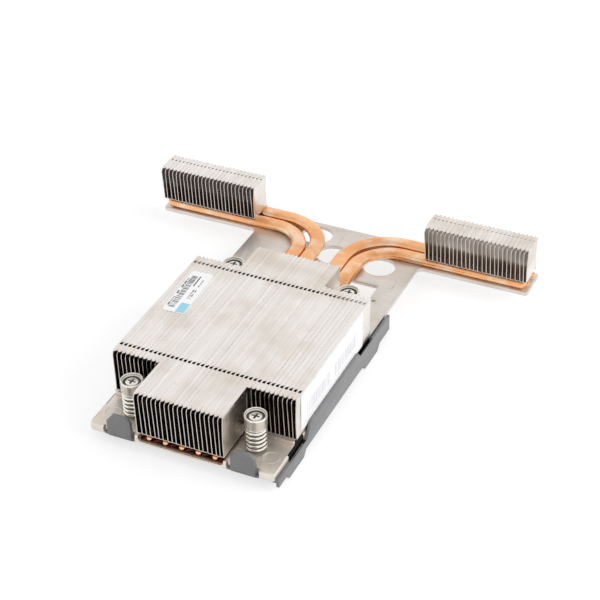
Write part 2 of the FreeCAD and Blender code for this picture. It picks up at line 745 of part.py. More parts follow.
def coil_spring():
    """A coil of half turns, each a tilted half ring that meets the next in line.

    The wire has eight flats, two of them level, so that the ends of the coil sit flat.
    """
    radius = value("Sizes.spring_radius")
    wire = value("Sizes.spring_wire") / 2
    half_turns = int(round(2 * value("Sizes.spring_turns")))
    step = (value("Sizes.spring_length") - 2 * wire) / half_turns
    sides = 8
    corner_radius = wire / math.cos(math.pi / sides)
    pieces = []
    for index in range(half_turns):
        side = 1 if index % 2 == 0 else -1
        start = FreeCAD.Vector(side * radius, 0, wire + index * step)
        end = FreeCAD.Vector(-side * radius, 0, wire + (index + 1) * step)
        across = end - start
        axis = across.cross(FreeCAD.Vector(0, side, 0))
        corners = [start + FreeCAD.Vector(math.cos(angle), 0, math.sin(angle)) * corner_radius
                   for angle in [math.pi * (2 * corner + 1) / sides for corner in range(sides)]]
        section = Part.Face(Part.makePolygon(corners + corners[:1]))
        pieces.append(section.revolve((start + end) / 2, axis, -180))
    return pieces[0].multiFuse(pieces[1:])


def make_spring(name, across, along):
    feature = doc.addObject("Part::Feature", "screw_spring_" + name)
    feature.Label = "screw_spring_" + name
    feature.Shape = coil_spring()
    feature.setExpression("Placement.Base.x", across)
    feature.setExpression("Placement.Base.y", along)
    feature.setExpression("Placement.Base.z", BASE_TOP)


def make_clip(name, across, along):
    body = new_body("retaining_clip_" + name)
    place_body(body, across, along, BASE_BOTTOM)
    inner = "(Sizes.screw_bore - Sizes.groove_depth)"
    sketch = new_sketch(body, "clip_%s_outline" % name, offset="-Sizes.clip_thickness")
    draw_circle(sketch, "outside", "0", "0", "Sizes.clip_radius")
    draw_circle(sketch, "inside", "0", "0", inner)
    pad(body, sketch, "clip_%s_ring" % name, "Sizes.clip_thickness")
    sketch = new_sketch(body, "clip_%s_mouth_outline" % name)
    half = "(Sizes.clip_mouth / 2)"
    draw_rectangle(sketch, "mouth", "-" + half, half, "-(Sizes.clip_radius + Sizes.cut_margin)", "0")
    pocket(body, sketch, "clip_%s_mouth" % name)


# Protective cover
def make_cover():
    body = new_body("protective_cover")
    rim = "Sizes.cover_wall"
    outer = COVER_OUTER
    inner = "(%s - Sizes.cover_wall)" % outer
    front = "(Sizes.base_front + Sizes.cover_rim_inset)"
    rear = "Sizes.cover_rear_end"
    tray_half = "Sizes.cover_tray_half"
    round_tray = "Sizes.cover_tray_corner"
    tray_outer = {0: round_tray, 1: round_tray, 2: round_tray, 3: round_tray}
    inner_round = "(Sizes.cover_tray_corner - Sizes.cover_wall)"
    tray_inner = {0: inner_round, 1: inner_round, 2: inner_round, 3: inner_round}

    sketch = new_sketch(body, "rim_outline", offset="(Sizes.cover_depth - %s)" % rim)
    draw_rectangle(sketch, "rim", "-" + outer, outer, front, rear)
    pad(body, sketch, "rim_plate", rim)

    sketch = new_sketch(body, "tray_outline")
    draw_rectangle(sketch, "tray", "-" + tray_half, tray_half,
                   "Sizes.cover_tray_front", "Sizes.cover_tray_rear", tray_outer)
    pad(body, sketch, "tray_block", "Sizes.cover_depth")

    add_skirts(body, outer, inner, front, rear)
    add_tabs(body)

    sketch = new_sketch(body, "tray_hollow_outline", offset="Sizes.cover_wall")
    draw_rectangle(sketch, "hollow", "-(%s - %s)" % (tray_half, rim), "(%s - %s)" % (tray_half, rim),
                   "(Sizes.cover_tray_front + %s)" % rim, "(Sizes.cover_tray_rear - %s)" % rim, tray_inner)
    pocket(body, sketch, "tray_hollow", "(Sizes.cover_depth - Sizes.cover_wall)", reverse=True)

    sketch = new_sketch(body, "clip_holes_outline")
    for name, across, along in screw_places():
        draw_circle(sketch, name, across, along, "Sizes.cover_screw_hole")
    pocket(body, sketch, "clip_holes")


def add_skirts(body, outer, inner, front, rear):
    """Side walls: a low strip, a guard that slopes up beside the fins, and two feet with sloped ends."""
    base = "Sizes.cover_depth"
    skirt_low = "(%s - Sizes.cover_skirt_drop)" % base
    skirt_high = "(%s + Sizes.cover_skirt_rise)" % base
    guard_high = "(%s + Sizes.cover_guard_rise)" % base
    rear_high = "(%s + Sizes.cover_rear_rise)" % base
    corners = [(front, skirt_low)]
    for foot in ("Sizes.cover_foot_front", "Sizes.cover_foot_rear"):
        foot_end = "(%s + Sizes.cover_foot_length)" % foot
        corners += [
            ("(%s - Sizes.cover_foot_slope)" % foot, skirt_low),
            (foot, "0"),
            (foot_end, "0"),
            ("(%s + Sizes.cover_foot_slope)" % foot_end, skirt_low),
        ]
    corners += [
        (rear, skirt_low),
        (rear, rear_high),
        ("(Sizes.cover_guard_rear + Sizes.cover_guard_slope / 2)", rear_high),
        ("Sizes.cover_guard_rear", guard_high),
        ("Sizes.cover_guard_front", guard_high),
        ("(Sizes.cover_guard_front - Sizes.cover_guard_slope)", skirt_high),
        (front, skirt_high),
    ]
    for side, offset, reverse in (("right", inner, False), ("left", "-" + inner, True)):
        sketch = new_sketch(body, side + "_skirt_outline", "YZ_Plane", offset)
        draw_polygon(sketch, "skirt", corners)
        pad(body, sketch, side + "_skirt", "Sizes.cover_wall", reverse)
    add_side_openings(body, outer)


def add_side_openings(body, outer):
    """Narrow openings between each side wall and the base, where the cover is levered off."""
    sketch = new_sketch(body, "side_openings_outline", offset="(Sizes.cover_depth + Sizes.cover_guard_rise)")
    near = "(Sizes.base_half_width - Sizes.cover_side_gap)"
    far = "(Sizes.base_half_width + Sizes.cover_side_gap + Sizes.cover_opening_width)"
    spans = (("front", "Sizes.cover_opening_front", "Sizes.cover_opening_front_end"),
             ("rear", "Sizes.cover_opening_rear", "Sizes.cover_opening_rear_end"))
    for end, start, stop in spans:
        draw_rectangle(sketch, "right_" + end, near, far, start, stop)
        draw_rectangle(sketch, "left_" + end, "-" + far, "-" + near, start, stop)
    pocket(body, sketch, "side_openings", "(Sizes.cover_guard_rise + Sizes.cover_wall + Sizes.cut_margin)")


def add_tabs(body):
    """Two upright tabs that clip over the front edge of the base, each with an ear at both sides."""
    for side, sign in (("left", "-"), ("right", "")):
        centre = sign + SCREW_ACROSS
        left = "(%s - Sizes.tab_width / 2)" % centre
        right = "(%s + Sizes.tab_width / 2)" % centre
        low = "Sizes.cover_depth"
        high = "(Sizes.cover_depth + Sizes.tab_rise)"
        sketch = new_sketch(body, side + "_tab_outline", "XZ_Plane", "-Sizes.base_front")
        edges = [
            ("y", low),
            ("x", right),
            ("y", high),
            ("x", left),
            ("y", low),
            ("x", "(%s - Sizes.tab_arch_half)" % centre),
            ("y", "(Sizes.cover_depth + Sizes.tab_arch_rise)"),
            ("x", "(%s + Sizes.tab_arch_half)" % centre),
        ]
        draw_rectilinear(sketch, "tab", edges, {1: "Sizes.tab_corner"})
        pad(body, sketch, side + "_tab", "Sizes.tab_thickness", True)

        sketch = new_sketch(body, side + "_tab_bevel_outline", "XZ_Plane",
                            "(Sizes.cut_margin - Sizes.base_front)")
        draw_polygon(sketch, "bevel", [
            (left, "(%s - Sizes.tab_bevel_down)" % high),
            ("(%s + Sizes.tab_bevel_across)" % left, high),
            (left, "(%s + Sizes.cut_margin)" % high),
            ("(%s - Sizes.cut_margin)" % left, "(%s - Sizes.tab_bevel_down)" % high),
        ])
        pocket(body, sketch, side + "_tab_bevel", "(Sizes.tab_thickness + 2 * Sizes.cut_margin)")

        sketch = new_sketch(body, side + "_ears_outline", "XZ_Plane", "-(Sizes.base_front + Sizes.tab_face)")
        ear = "Sizes.ear_corner"
        draw_rectangle(sketch, "ears", "(%s - Sizes.ear_width / 2)" % centre,
                       "(%s + Sizes.ear_width / 2)" % centre, "(Sizes.cover_depth - Sizes.cover_wall)",
                       "(Sizes.cover_depth + Sizes.ear_rise)", {1: ear, 2: ear})
        pad(body, sketch, side + "_ears", "(Sizes.tab_thickness - Sizes.tab_face)", True)


# Stickers
def make_stickers():
    top = new_body("top_label")
    turn = FreeCAD.Rotation(FreeCAD.Vector(0, 0, 1), value("Sizes.top_sticker_turn"))
    top.Placement = FreeCAD.Placement(FreeCAD.Vector(), turn)
    place_body(top, "Sizes.top_sticker_across", "Sizes.top_sticker_along",
               "(Sizes.cover_depth + Sizes.fin_top)")
    top.setExpression("Placement.Rotation.Angle", "Sizes.top_sticker_turn")
    sketch = new_sketch(top, "top_label_outline")
    corner = "Sizes.sticker_corner"
    rounds = {0: corner, 1: corner, 2: corner, 3: corner}
    half_width = "(Sizes.top_sticker_width / 2)"
    half_length = "(Sizes.top_sticker_length / 2)"
    draw_rectangle(sketch, "label", "-" + half_width, half_width, "-" + half_length, half_length, rounds)
    pad(top, sketch, "top_label_film", "Sizes.sticker_thickness")

    side = new_body("side_label")
    place_body(side, across=STACK_HALF, height=CARRIER_TOP)
    sketch = new_sketch(side, "side_label_outline", "YZ_Plane")
    draw_rectangle(sketch, "label", "Sizes.side_sticker_front", "Sizes.side_sticker_rear",
                   "Sizes.side_sticker_margin", "(%s - Sizes.side_sticker_margin)" % FIN_HEIGHT, rounds)
    pad(side, sketch, "side_label_film", "Sizes.sticker_thickness")


def write_parts():
    """Check every object, then write each sub-part to a file named by its label."""
    doc.recompute()
    for item in doc.Objects:
        if "Invalid" in item.State or "Error" in item.State:
            raise ValueError("%s did not compute: %s" % (item.Name, item.State))
    parts = [item for item in doc.Objects
             if item.TypeId in ("PartDesign::Body", "Part::Feature")]
    for item in parts:
        if item.Shape.isNull() or not item.Shape.isValid() or not item.Shape.Solids:
            raise ValueError("%s has no valid solid" % item.Label)
    os.makedirs("parts", exist_ok=True)
    for item in parts:
        item.Shape.exportStep("parts/%s.step" % item.Label)


make_base_plate()
make_copper_spreader()
make_carrier_plate()
make_bent_pipes()
make_centre_pipe()
make_main_stacks()
make_wing_stacks()
for screw_name, screw_across, screw_along in screw_places():
    make_screw(screw_name, screw_across, screw_along)
    make_spring(screw_name, screw_across, screw_along)
    make_clip(screw_name, screw_across, screw_along)
make_cover()
make_stickers()
write_parts()
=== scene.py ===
import math
import random

import bmesh
import bpy
from bpy.props import FloatProperty, FloatVectorProperty, IntProperty, PointerProperty
from mathutils import Matrix, Vector, noise


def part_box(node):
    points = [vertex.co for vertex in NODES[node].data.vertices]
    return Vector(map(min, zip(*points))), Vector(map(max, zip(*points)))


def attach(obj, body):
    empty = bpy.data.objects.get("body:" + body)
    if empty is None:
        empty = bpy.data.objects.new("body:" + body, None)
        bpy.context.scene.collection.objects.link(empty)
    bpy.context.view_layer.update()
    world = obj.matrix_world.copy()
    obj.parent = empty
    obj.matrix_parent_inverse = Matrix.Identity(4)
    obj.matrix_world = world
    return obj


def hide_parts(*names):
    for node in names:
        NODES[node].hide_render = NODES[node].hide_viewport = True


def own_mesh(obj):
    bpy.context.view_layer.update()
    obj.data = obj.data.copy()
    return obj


bl_info = {
    "name": "Passive Server Heatsink",
    "version": (1, 0, 0),
    "blender": (4, 5, 0),
    "location": "View3D > Sidebar > Heatsink",
    "description": "Dresses the low server heatsink: folded fins, heat pipes, screws, cover and labels",
    "category": "Object",
}

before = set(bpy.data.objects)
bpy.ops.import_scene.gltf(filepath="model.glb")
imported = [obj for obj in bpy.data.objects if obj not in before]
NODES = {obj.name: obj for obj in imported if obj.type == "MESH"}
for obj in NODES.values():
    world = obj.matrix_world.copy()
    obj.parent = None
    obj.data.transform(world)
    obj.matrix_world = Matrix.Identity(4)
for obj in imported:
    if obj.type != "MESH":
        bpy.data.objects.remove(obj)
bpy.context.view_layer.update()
MM = 0.001
SCREWS = ("front_left", "front_right", "rear_left", "rear_right")
# Name of the face attribute that carries painted light and shade: high where a face is painted lit, low
# where shade is painted.
PAINTED_LIGHT_NAME = "tone"
WHITE = (1.0, 1.0, 1.0, 1.0)
EVEN = (1.0, 1.0, 1.0)
NOISE_SPAN = (0.3, 0.7)
# Near-black colour painted as shade in the cover's side openings.
OPENING_SHADE = (0.004, 0.003, 0.003)


# Settings
def length(name, description, millimetres):
    """A length, with its default in millimetres."""
    return FloatProperty(name=name, description=description, default=millimetres * MM,
                         unit="LENGTH", precision=5)


def rotation(name, description, default):
    return FloatProperty(name=name, description=description, default=default,
                         subtype="ANGLE", unit="ROTATION")


def number(name, description, default):
    return FloatProperty(name=name, description=description, default=default)


def whole_number(name, description, default):
    return IntProperty(name=name, description=description, default=default)


def colour(name, description, default):
    return FloatVectorProperty(name=name, description=description, default=default, subtype="COLOR",
                               size=3, min=0.0, max=1.0)


class HeatsinkFinSettings(bpy.types.PropertyGroup):
    """Sizes of the folded fins."""
    sheet: length("Sheet", "Thickness of the fin metal", 0.3)
    closing_plate: length("Closing plate", "Thickness of the plate that closes a row", 0.4)
    fins_long: whole_number("Long fins", "Folded fins in the centre block", 20)
    fins_short: whole_number("Short fins", "Folded fins in the left block", 11)
    wing_fins: whole_number("Wing fins", "Folded fins on each arm", 25)
    bend: length("Bend", "Radius of the folds along the fin", 0.32)
    edge_bend: length("Edge bend", "How far across the fold is rolled at a fin's free end", 1.2)
    edge_bow: length("Edge bow", "How far down the fold is rolled at a fin's free end", 2.9)
    flare: length("Flare", "How far the rolled shape runs in from the free end", 1.8)
    flange_drop: length("Flange drop", "How far each top flange sinks under the next fold", 0.09)
    edge_drop: length("Edge drop", "How far each top flange sinks at a fin's free end", 0.55)
    flange_overlap: length("Flange overlap", "How far each top flange reaches under the next fold", 0.06)
    end_notch: length("End notch", "How much shorter each top flange is at a fin's free end", 0.7)
    notch_length: length("Notch length", "How far the shorter flange runs in from the free end", 0.9)
    lean: length("Lean", "How far the fins' tops lean from their feet", 0.3)
    edge_lean: length("Edge lean", "Extra lean at a fin's free end", 0.35)
    lock_inset: length("Lock inset", "From the block's ends to its row of locks", 5.4)
    wing_lock_inset: length("Wing lock inset", "From a wing's back to its row of locks", 4.7)
    lock_length: length("Lock length", "Length of a lock slot along the fin", 1.2)
    lock_width: length("Lock width", "Width of a lock slot across the fin", 1.15)
    lock_tail: length("Lock tail", "Length of the narrow tail behind a lock slot", 0.9)
    wing_lock: number("Wing lock", "Size of the wings' locks beside the others", 0.62)


class HeatsinkPipeSettings(bpy.types.PropertyGroup):
    """Sizes of the flattened heat pipes."""
    round_diameter: length("Round diameter", "Diameter of the tube before it was flattened", 6.0)
    height: length("Height", "Height of the flattened tube", 3.8)
    pitch: length("Pitch", "Spacing of the pipes in the channel", 7.5)
    rise_gap: length("Rise gap", "From the fins' rear end to where the pipes start to climb", 0.8)
    rise_run: length("Rise run", "Length over which a pipe climbs onto the carrier", 19.0)
    outer_radius: length("Outer pipe bend", "Bend radius of the two outermost pipes", 17.5)
    inner_radius: length("Inner pipe bend", "Bend radius of the two pipes beside the middle one", 22.0)
    taper: length("Taper", "Length of the taper at a pipe's end", 1.4)
    nib: length("Nib", "Length of the crimped nib at a pipe's end", 1.3)
    nib_width: length("Nib width", "Width of the crimped nib", 2.6)
    nib_height: length("Nib height", "Height of the crimped nib", 2.0)
    droop: length("Droop", "How far the front nibs sit below the pipes' middle", 0.85)
    waviness: length("Waviness", "How far the flattened walls wander", 0.09)


class HeatsinkScrewSettings(bpy.types.PropertyGroup):
    """Sizes of the captive screws and their springs."""
    lip: length("Lip", "Thickness of the cup's lip", 0.55)
    step: length("Step", "Width of the ledge inside the cup", 0.5)
    step_depth: length("Step depth", "Depth of the ledge inside the cup", 0.9)
    cup_height: length("Cup height", "Height of the cup", 4.8)
    cup_skirt: length("Cup skirt", "How far the cup's rim reaches down around its spring", 0.8)
    cup_depth: length("Cup depth", "Depth of the cup", 2.4)
    drive_radius: length("Drive radius", "Radius of the raised drive", 2.95)
    drive_rise: length("Drive rise", "Height of the raised drive above the cup's floor", 1.7)
    recess_length: length("Recess length", "Length of the cross recess", 3.5)
    recess_width: length("Recess width", "Width of the cross recess", 0.95)
    shank_radius: length("Shank radius", "Radius of the plain shank", 2.5)
    groove_radius: length("Groove radius", "Radius of the groove that holds the clip", 2.05)
    thread_radius: length("Thread radius", "Radius over the thread", 1.75)
    thread_length: length("Thread length", "Length of the threaded end", 3.0)
    thread_pitch: length("Thread pitch", "Pitch of the screw's thread", 0.6)
    thread_depth: length("Thread depth", "Depth of the screw's thread", 0.3)
    spring_wire: length("Spring wire", "Thickness of the spring's wire", 1.3)
    spring_turns: number("Spring turns", "Turns of the spring, closed ends included", 5.9)
    closed_turns: number("Closed turns", "Turns that lie flat at each end", 0.85)


class HeatsinkCoverSettings(bpy.types.PropertyGroup):
    """How the moulded cover differs from its plain solid."""
    rounding: length("Rounding", "Round along the cover's edges", 0.2)
    wall_drop: length("Wall drop", "How much lower the side walls' front part is", 2.1)
    wall_foot: length("Wall foot", "Height above which the side walls' front part is lowered", 7.5)
    wall_drop_end: length("Wall drop end", "Where the lowered part of the side walls ends, along Y", -31.2)
    left_wall_end: length("Left wall end", "Where the left wall's front end lies, along Y", -55.4)
    tab_drop: length("Tab drop", "How much lower the two front tabs are", 1.4)
    tab_foot: length("Tab foot", "Height above which the front tabs are lowered", 12.0)
    tab_depth: length("Tab depth", "How far the tabs and their ears reach over the base's front edge", 3.0)
    ear_width: length("Ear width", "How far an ear reaches past its tab before it is trimmed", 1.6)
    tab_half: length("Tab half", "Half the width of a tab", 5.45)
    ear_share: number("Ear share", "Part of each ear beside a tab that is kept", 0.12)


class HeatsinkLabelSettings(bpy.types.PropertyGroup):
    """The generic print on the labels."""
    ink_height: length("Ink height", "How far the printed fields stand above the label", 0.012)
    turn: rotation("Turn", "How far the top label is turned", math.radians(2.4))
    width: length("Width", "Width of the top label", 10.2)
    length: length("Length", "Length of the top label", 31.6)


class HeatsinkFinishSettings(bpy.types.PropertyGroup):
    """Colours of the finishes, and of the shade painted into gaps, recesses and the copper slot."""
    fin: colour("Fin aluminium", "Colour of the fins' open faces", (0.93, 0.885, 0.845))
    # Painted shade: a dark colour that stands for the shade deep between the fins.
    fin_inside: colour("Fin inside", "Colour deep between the fins", (0.15, 0.085, 0.05))
    base: colour("Base", "Colour of the base", (0.89, 0.82, 0.735))
    carrier: colour("Carrier", "Colour of the carrier plate", (0.80, 0.74, 0.69))
    copper: colour("Copper", "Colour of the heat pipes", (0.98, 0.565, 0.29))
    copper_dark: colour("Dark copper", "Colour of the pipes where they are tarnished", (0.82, 0.34, 0.125))
    # Painted shade: the copper plate under the pipes is coloured this dark to stand for the shade in its
    # slot.
    copper_deep: colour("Milled copper", "Colour of the copper plate under the pipes", (0.13, 0.05, 0.025))
    chrome: colour("Nickel plate", "Colour of the screws and springs", (0.97, 0.945, 0.88))
    # Painted shade: the dark colour painted into the screws' recesses and shanks.
    soot: colour("Soot", "Colour of the screws where light hardly reaches", (0.11, 0.075, 0.045))
    clip: colour("Spring steel", "Colour of the retaining clips", (0.45, 0.43, 0.41))
    plastic: colour("Plastic", "Colour of the protective cover", (0.17, 0.17, 0.175))
    paper: colour("Label", "Colour of the labels", (0.97, 0.97, 0.97))
    ink: colour("Ink", "Colour of the bars on the top label", (0.07, 0.07, 0.08))
    faint_ink: colour("Faint ink", "Colour of the bars on the side label", (0.62, 0.62, 0.65))
    field: colour("Colour field", "Colour of the field at the top label's end", (0.26, 0.58, 0.70))


class HeatsinkStageSettings(bpy.types.PropertyGroup):
    """The floor, the light and the camera."""
    azimuth: rotation("Azimuth", "Camera's turn from the front, to the right", 0.43152)
    elevation: rotation("Elevation", "Camera's angle above the floor", 0.60953)
    roll: rotation("Roll", "Camera's turn about its own axis", -0.010915)
    distance: length("Distance", "From the camera to the point that it looks at", 766.17)
    lens: number("Lens", "Focal length in millimetres on a 36 mm sensor", 100.92)
    target_across: length("Target across", "Where the camera looks, along X", -0.72)
    target_along: length("Target along", "Where the camera looks, along Y", 58.57)
    target_height: length("Target height", "Where the camera looks, along Z", 6.0)
    floor: colour("Floor", "Colour of the floor", (0.42, 0.42, 0.425))
    # The floor's glow is left out under the cover, inside these insets, which paints a shadow there.
    inset_across: length("Inset across", "How far inside the cover's sides the floor's white ends", 5.9)
    inset_along: length("Inset along", "How far inside the cover's ends the floor's white ends", 11.0)
    floor_glow: number("Floor glow", "White that camera and mirror rays see on the floor", 0.67)
    sky: number("Sky", "Strength of the light from all around", 0.60)
    zenith: number("Zenith", "Brightness overhead that mirror rays see", 0.75)
    key: number("Key", "Power of the lamp at the right, in watts", 6.2)
    fill: number("Fill", "Power of the lamp at the front left, in watts", 2.6)


# Pieces and meshes
def new_collection_object(name, data):
    """An object made of a mesh, a camera or a lamp, put into the scene."""
    new = bpy.data.objects.new(name, data)
    bpy.context.scene.collection.objects.link(new)
    return new


def new_piece(name, work):
    """An object made of a bmesh, which is freed."""
    mesh = bpy.data.meshes.new(name)
    work.to_mesh(mesh)
    work.free()
    return new_collection_object(name, mesh)


def keep_tones(mesh, painted_lights):
    """Keep one number on each face, the painted light and shade that the materials read."""
    layer = mesh.attributes.new(PAINTED_LIGHT_NAME, "FLOAT", "FACE")
    layer.data.foreach_set("value", painted_lights)


def finish_piece(piece, body, slot, material, *replaced, sharp=35):
    """Smooth a new piece, give it its material, hang it on the body that it rides on and hide the nodes that
    it replaces.
    """
    mesh = piece.data
    mesh.shade_smooth()
    mesh.set_sharp_from_angle(angle=math.radians(sharp))
    mesh.materials.clear()
    mesh.materials.append(bpy.data.materials[material])
    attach(piece, body)
    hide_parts(*replaced)


def baked_copy(piece):
    """Apply a piece's modifiers, so that its own mesh is the final one."""
    graph = bpy.context.evaluated_depsgraph_get()
    mesh = bpy.data.meshes.new_from_object(piece.evaluated_get(graph))
    name = piece.name
    bpy.data.objects.remove(piece)
    return new_collection_object(name, mesh)


def grid_mesh(rows, closed=False, holes=()):
    """Rows of points joined by quads; closed joins each row's ends, and holes lists the cells left out."""
    mesh = bmesh.new()
    verts = [[mesh.verts.new(point) for point in row] for row in rows]
    for i in range(len(rows) - 1):
        count = len(rows[i])
        for k in range(count if closed else count - 1):
            if (i, k) not in holes:
                n = (k + 1) % count
                mesh.faces.new((verts[i][k], verts[i][n], verts[i + 1][n], verts[i + 1][k]))
    return mesh, verts


def join_bmesh(target, source):
    """Add one bmesh's faces to another."""
    mesh = bpy.data.meshes.new("part")
    source.to_mesh(mesh)
    source.free()
    target.from_mesh(mesh)
    bpy.data.meshes.remove(mesh)


def circle(centre, radius, height, segments):
    """Points round a level circle."""
    points = []
    for k in range(segments):
        angle = 2 * math.pi * k / segments
        points.append((centre[0] + radius * math.cos(angle), centre[1] + radius * math.sin(angle), height))
    return points


def lathe_mesh(profile, centre, segments=64):
    """A turned form: profile lists radius and height from the axis at one end to the axis at the other."""
    rows = [circle(centre, radius, height, segments) for radius, height in profile]
    mesh, _ = grid_mesh(rows, closed=True)
    bmesh.ops.remove_doubles(mesh, verts=mesh.verts, dist=1e-6)
    bmesh.ops.recalc_face_normals(mesh, faces=mesh.faces)
    return mesh


def capped_tube(rows):
    """A closed tube through rows of points, with a face over each end."""
    mesh, verts = grid_mesh(rows, closed=True)
    mesh.faces.new(verts[0])
    mesh.faces.new(list(reversed(verts[-1])))
    bmesh.ops.recalc_face_normals(mesh, faces=mesh.faces)
    return mesh


def axis_of(node):
    """Where the axis of a round node stands, as X and Y."""
    low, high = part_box(node)
    return (low.x + high.x) / 2, (low.y + high.y) / 2


def softened(node, name, width, segments=2):
    """A copy of a CAD node's solid whose sharp edges have a small round."""
    work = bmesh.new()
    work.from_mesh(NODES[node].data)
    bmesh.ops.remove_doubles(work, verts=work.verts, dist=2e-6)
    bmesh.ops.dissolve_limit(work, angle_limit=math.radians(0.6), verts=work.verts, edges=work.edges)
    piece = new_piece(name, work)
    rounding = piece.modifiers.new("Edge rounding", "BEVEL")
    rounding.width = width
    rounding.segments = segments
    rounding.limit_method = "ANGLE"
    rounding.angle_limit = math.radians(40)
    rounding.use_clamp_overlap = True
    return baked_copy(piece)


# Shader node groups
def fill_inputs(tree, node, inputs):
    """Fill a node's inputs; each is a socket to link or a plain value."""
    for name, value in inputs.items():
        if isinstance(value, bpy.types.NodeSocket):
            tree.links.new(value, node.inputs[name])
        else:
            node.inputs[name].default_value = value


def add_node(tree, kind, inputs, **choices):
    """A shader node with its choices and inputs."""
    node = tree.nodes.new(kind)
    for name, value in choices.items():
        setattr(node, name, value)
    fill_inputs(tree, node, inputs)
    return node


def maths(tree, operation, *terms):
    """A Math node; each term is a socket or a plain number."""
    return add_node(tree, "ShaderNodeMath", dict(enumerate(terms)), operation=operation).outputs[0]


def product(tree, first, second):
    """Two values multiplied; each is a socket or a plain number."""
    return maths(tree, "MULTIPLY", first, second)


def metric_noise(tree, vector, scale, detail=3.0, roughness=0.55):
    """Noise over the surface; scale counts features per metre."""
    inputs = {"Vector": vector, "Scale": scale, "Detail": detail, "Roughness": roughness}
    return add_node(tree, "ShaderNodeTexNoise", inputs).outputs["Fac"]


def ramp(tree, value, low, high, out_low=0.0, out_high=1.0):
    """Map a range of values onto another, held at both ends."""
    inputs = {"Value": value, "From Min": low, "From Max": high, "To Min": out_low, "To Max": out_high}
    return add_node(tree, "ShaderNodeMapRange", inputs, clamp=True).outputs["Result"]


def mixed(tree, factor, first, second):
    """Mix two colours; each is a socket or a plain colour."""
    inputs = {"Factor": factor}
    for index, term in ((6, first), (7, second)):
        inputs[index] = term if isinstance(term, bpy.types.NodeSocket) else (*term, 1.0)
    return add_node(tree, "ShaderNodeMix", inputs, data_type="RGBA").outputs[2]


def axis_parts(tree, vector):
    """The X, Y and Z of a vector, as sockets."""
    return add_node(tree, "ShaderNodeSeparateXYZ", {0: vector}).outputs


def placed_group(tree, name, inputs):
    """One use of a node group; returns its outputs."""
    return add_node(tree, "ShaderNodeGroup", inputs, node_tree=bpy.data.node_groups[name]).outputs


def new_group(name, inputs, outputs):
    """An empty shader node group; returns it with its inputs' sockets and its output node."""
    group = bpy.data.node_groups.new(name, "ShaderNodeTree")
    for label, kind, default in inputs:
        socket = group.interface.new_socket(name=label, in_out="INPUT", socket_type=kind)
        if default is not None:
            socket.default_value = default
    for label in outputs:
        group.interface.new_socket(name=label, in_out="OUTPUT", socket_type="NodeSocketFloat")
    return group, group.nodes.new("NodeGroupInput").outputs, group.nodes.new("NodeGroupOutput")


def scaled_vector(tree, vector, scale):
    """A position multiplied along each axis, by a plain vector or a socket."""
    return add_node(tree, "ShaderNodeVectorMath", {0: vector, 1: scale}, operation="MULTIPLY").outputs[0]


def build_grain_group():
    """Rolled or brushed metal: fine streaks along one axis, and a slow variation of gloss."""
    group, given, result = new_group("Rolled grain", (
        ("Position", "NodeSocketVector", None),
        ("Stretch", "NodeSocketVector", (1.0, 0.04, 1.0)),
        ("Fineness", "NodeSocketFloat", 2600.0),
    ), ("Streak", "Cloud"))
    drawn = scaled_vector(group, given["Position"], given["Stretch"])
    fill_inputs(group, result, {
        "Streak": metric_noise(group, drawn, given["Fineness"], 2.0, 0.5),
        "Cloud": metric_noise(group, given["Position"], 70.0, 4.0),
    })


def build_stain_group():
    """Handling marks: soft smudges, small dark specks and thin scratches."""
    group, given, result = new_group("Handling marks", (
        ("Position", "NodeSocketVector", None),
        ("Smudge size", "NodeSocketFloat", 55.0),
    ), ("Smudge", "Speck", "Scratch"))
    position = given["Position"]
    smudge = metric_noise(group, position, given["Smudge size"], 5.0, 0.62)
    speck = metric_noise(group, position, 900.0, 2.0)
    long_scratch = metric_noise(group, scaled_vector(group, position, (1.0, 0.05, 1.0)), 1500.0, 1.0)
    patch = metric_noise(group, position, 45.0, 2.0)
    scratch = product(group, ramp(group, long_scratch, 0.70, 0.78), ramp(group, patch, 0.52, 0.60))
    fill_inputs(group, result, {
        "Smudge": ramp(group, smudge, 0.46, 0.68),
        "Speck": ramp(group, speck, 0.70, 0.76),
        "Scratch": scratch,
    })


def build_opening_group():
    """Where the two narrow openings lie between each side wall of the cover and the base, the mask for the
    shade painted there.
    """
    group, given, result = new_group("Side openings", (
        ("Position", "NodeSocketVector", None),
        ("Near", "NodeSocketFloat", 41.3 * MM),
        ("Far", "NodeSocketFloat", 43.3 * MM),
        ("Front middle", "NodeSocketFloat", -39.3 * MM),
        ("Front half length", "NodeSocketFloat", 7.3 * MM),
        ("Rear middle", "NodeSocketFloat", 31.6 * MM),
        ("Rear half length", "NodeSocketFloat", 7.0 * MM),
    ), ("Opening",))
    parts = axis_parts(group, given["Position"])
    side = maths(group, "ABSOLUTE", parts["X"])
    across = product(group, maths(group, "GREATER_THAN", side, given["Near"]),
                   maths(group, "LESS_THAN", side, given["Far"]))
    front = maths(group, "COMPARE", parts["Y"], given["Front middle"], given["Front half length"])
    rear = maths(group, "COMPARE", parts["Y"], given["Rear middle"], given["Rear half length"])
    along = maths(group, "MAXIMUM", front, rear)
    fill_inputs(group, result, {"Opening": product(group, across, along)})


def new_material(name):
    """A new material's nodes, its Principled shader and the position of the surface in the piece's frame."""
    material = bpy.data.materials.new(name)
    material.use_nodes = True
    tree = material.node_tree
    place = tree.nodes.new("ShaderNodeTexCoord")
    return tree, tree.nodes["Principled BSDF"], place.outputs["Object"]


def add_bump(tree, shader, height, strength, distance):
    """Fine relief in the shader's normal."""
    bump = add_node(tree, "ShaderNodeBump", {"Strength": strength, "Distance": distance, "Height": height})
    tree.links.new(bump.outputs["Normal"], shader.inputs["Normal"])


def scaled_tint(tint, share):
    return tuple(channel * share for channel in tint)


def opening_shade(tree, place, tint):
    """Paint shade: make a colour nearly black where the cover's side openings are, standing in for the shade
    in those gaps.
    """
    opening = placed_group(tree, "Side openings", {"Position": place})["Opening"]
    return mixed(tree, opening, tint, OPENING_SHADE)


def tinted(tint, shares):
    """A colour with each channel multiplied by a share of its own."""
    return tuple(channel * share for channel, share in zip(tint, shares))


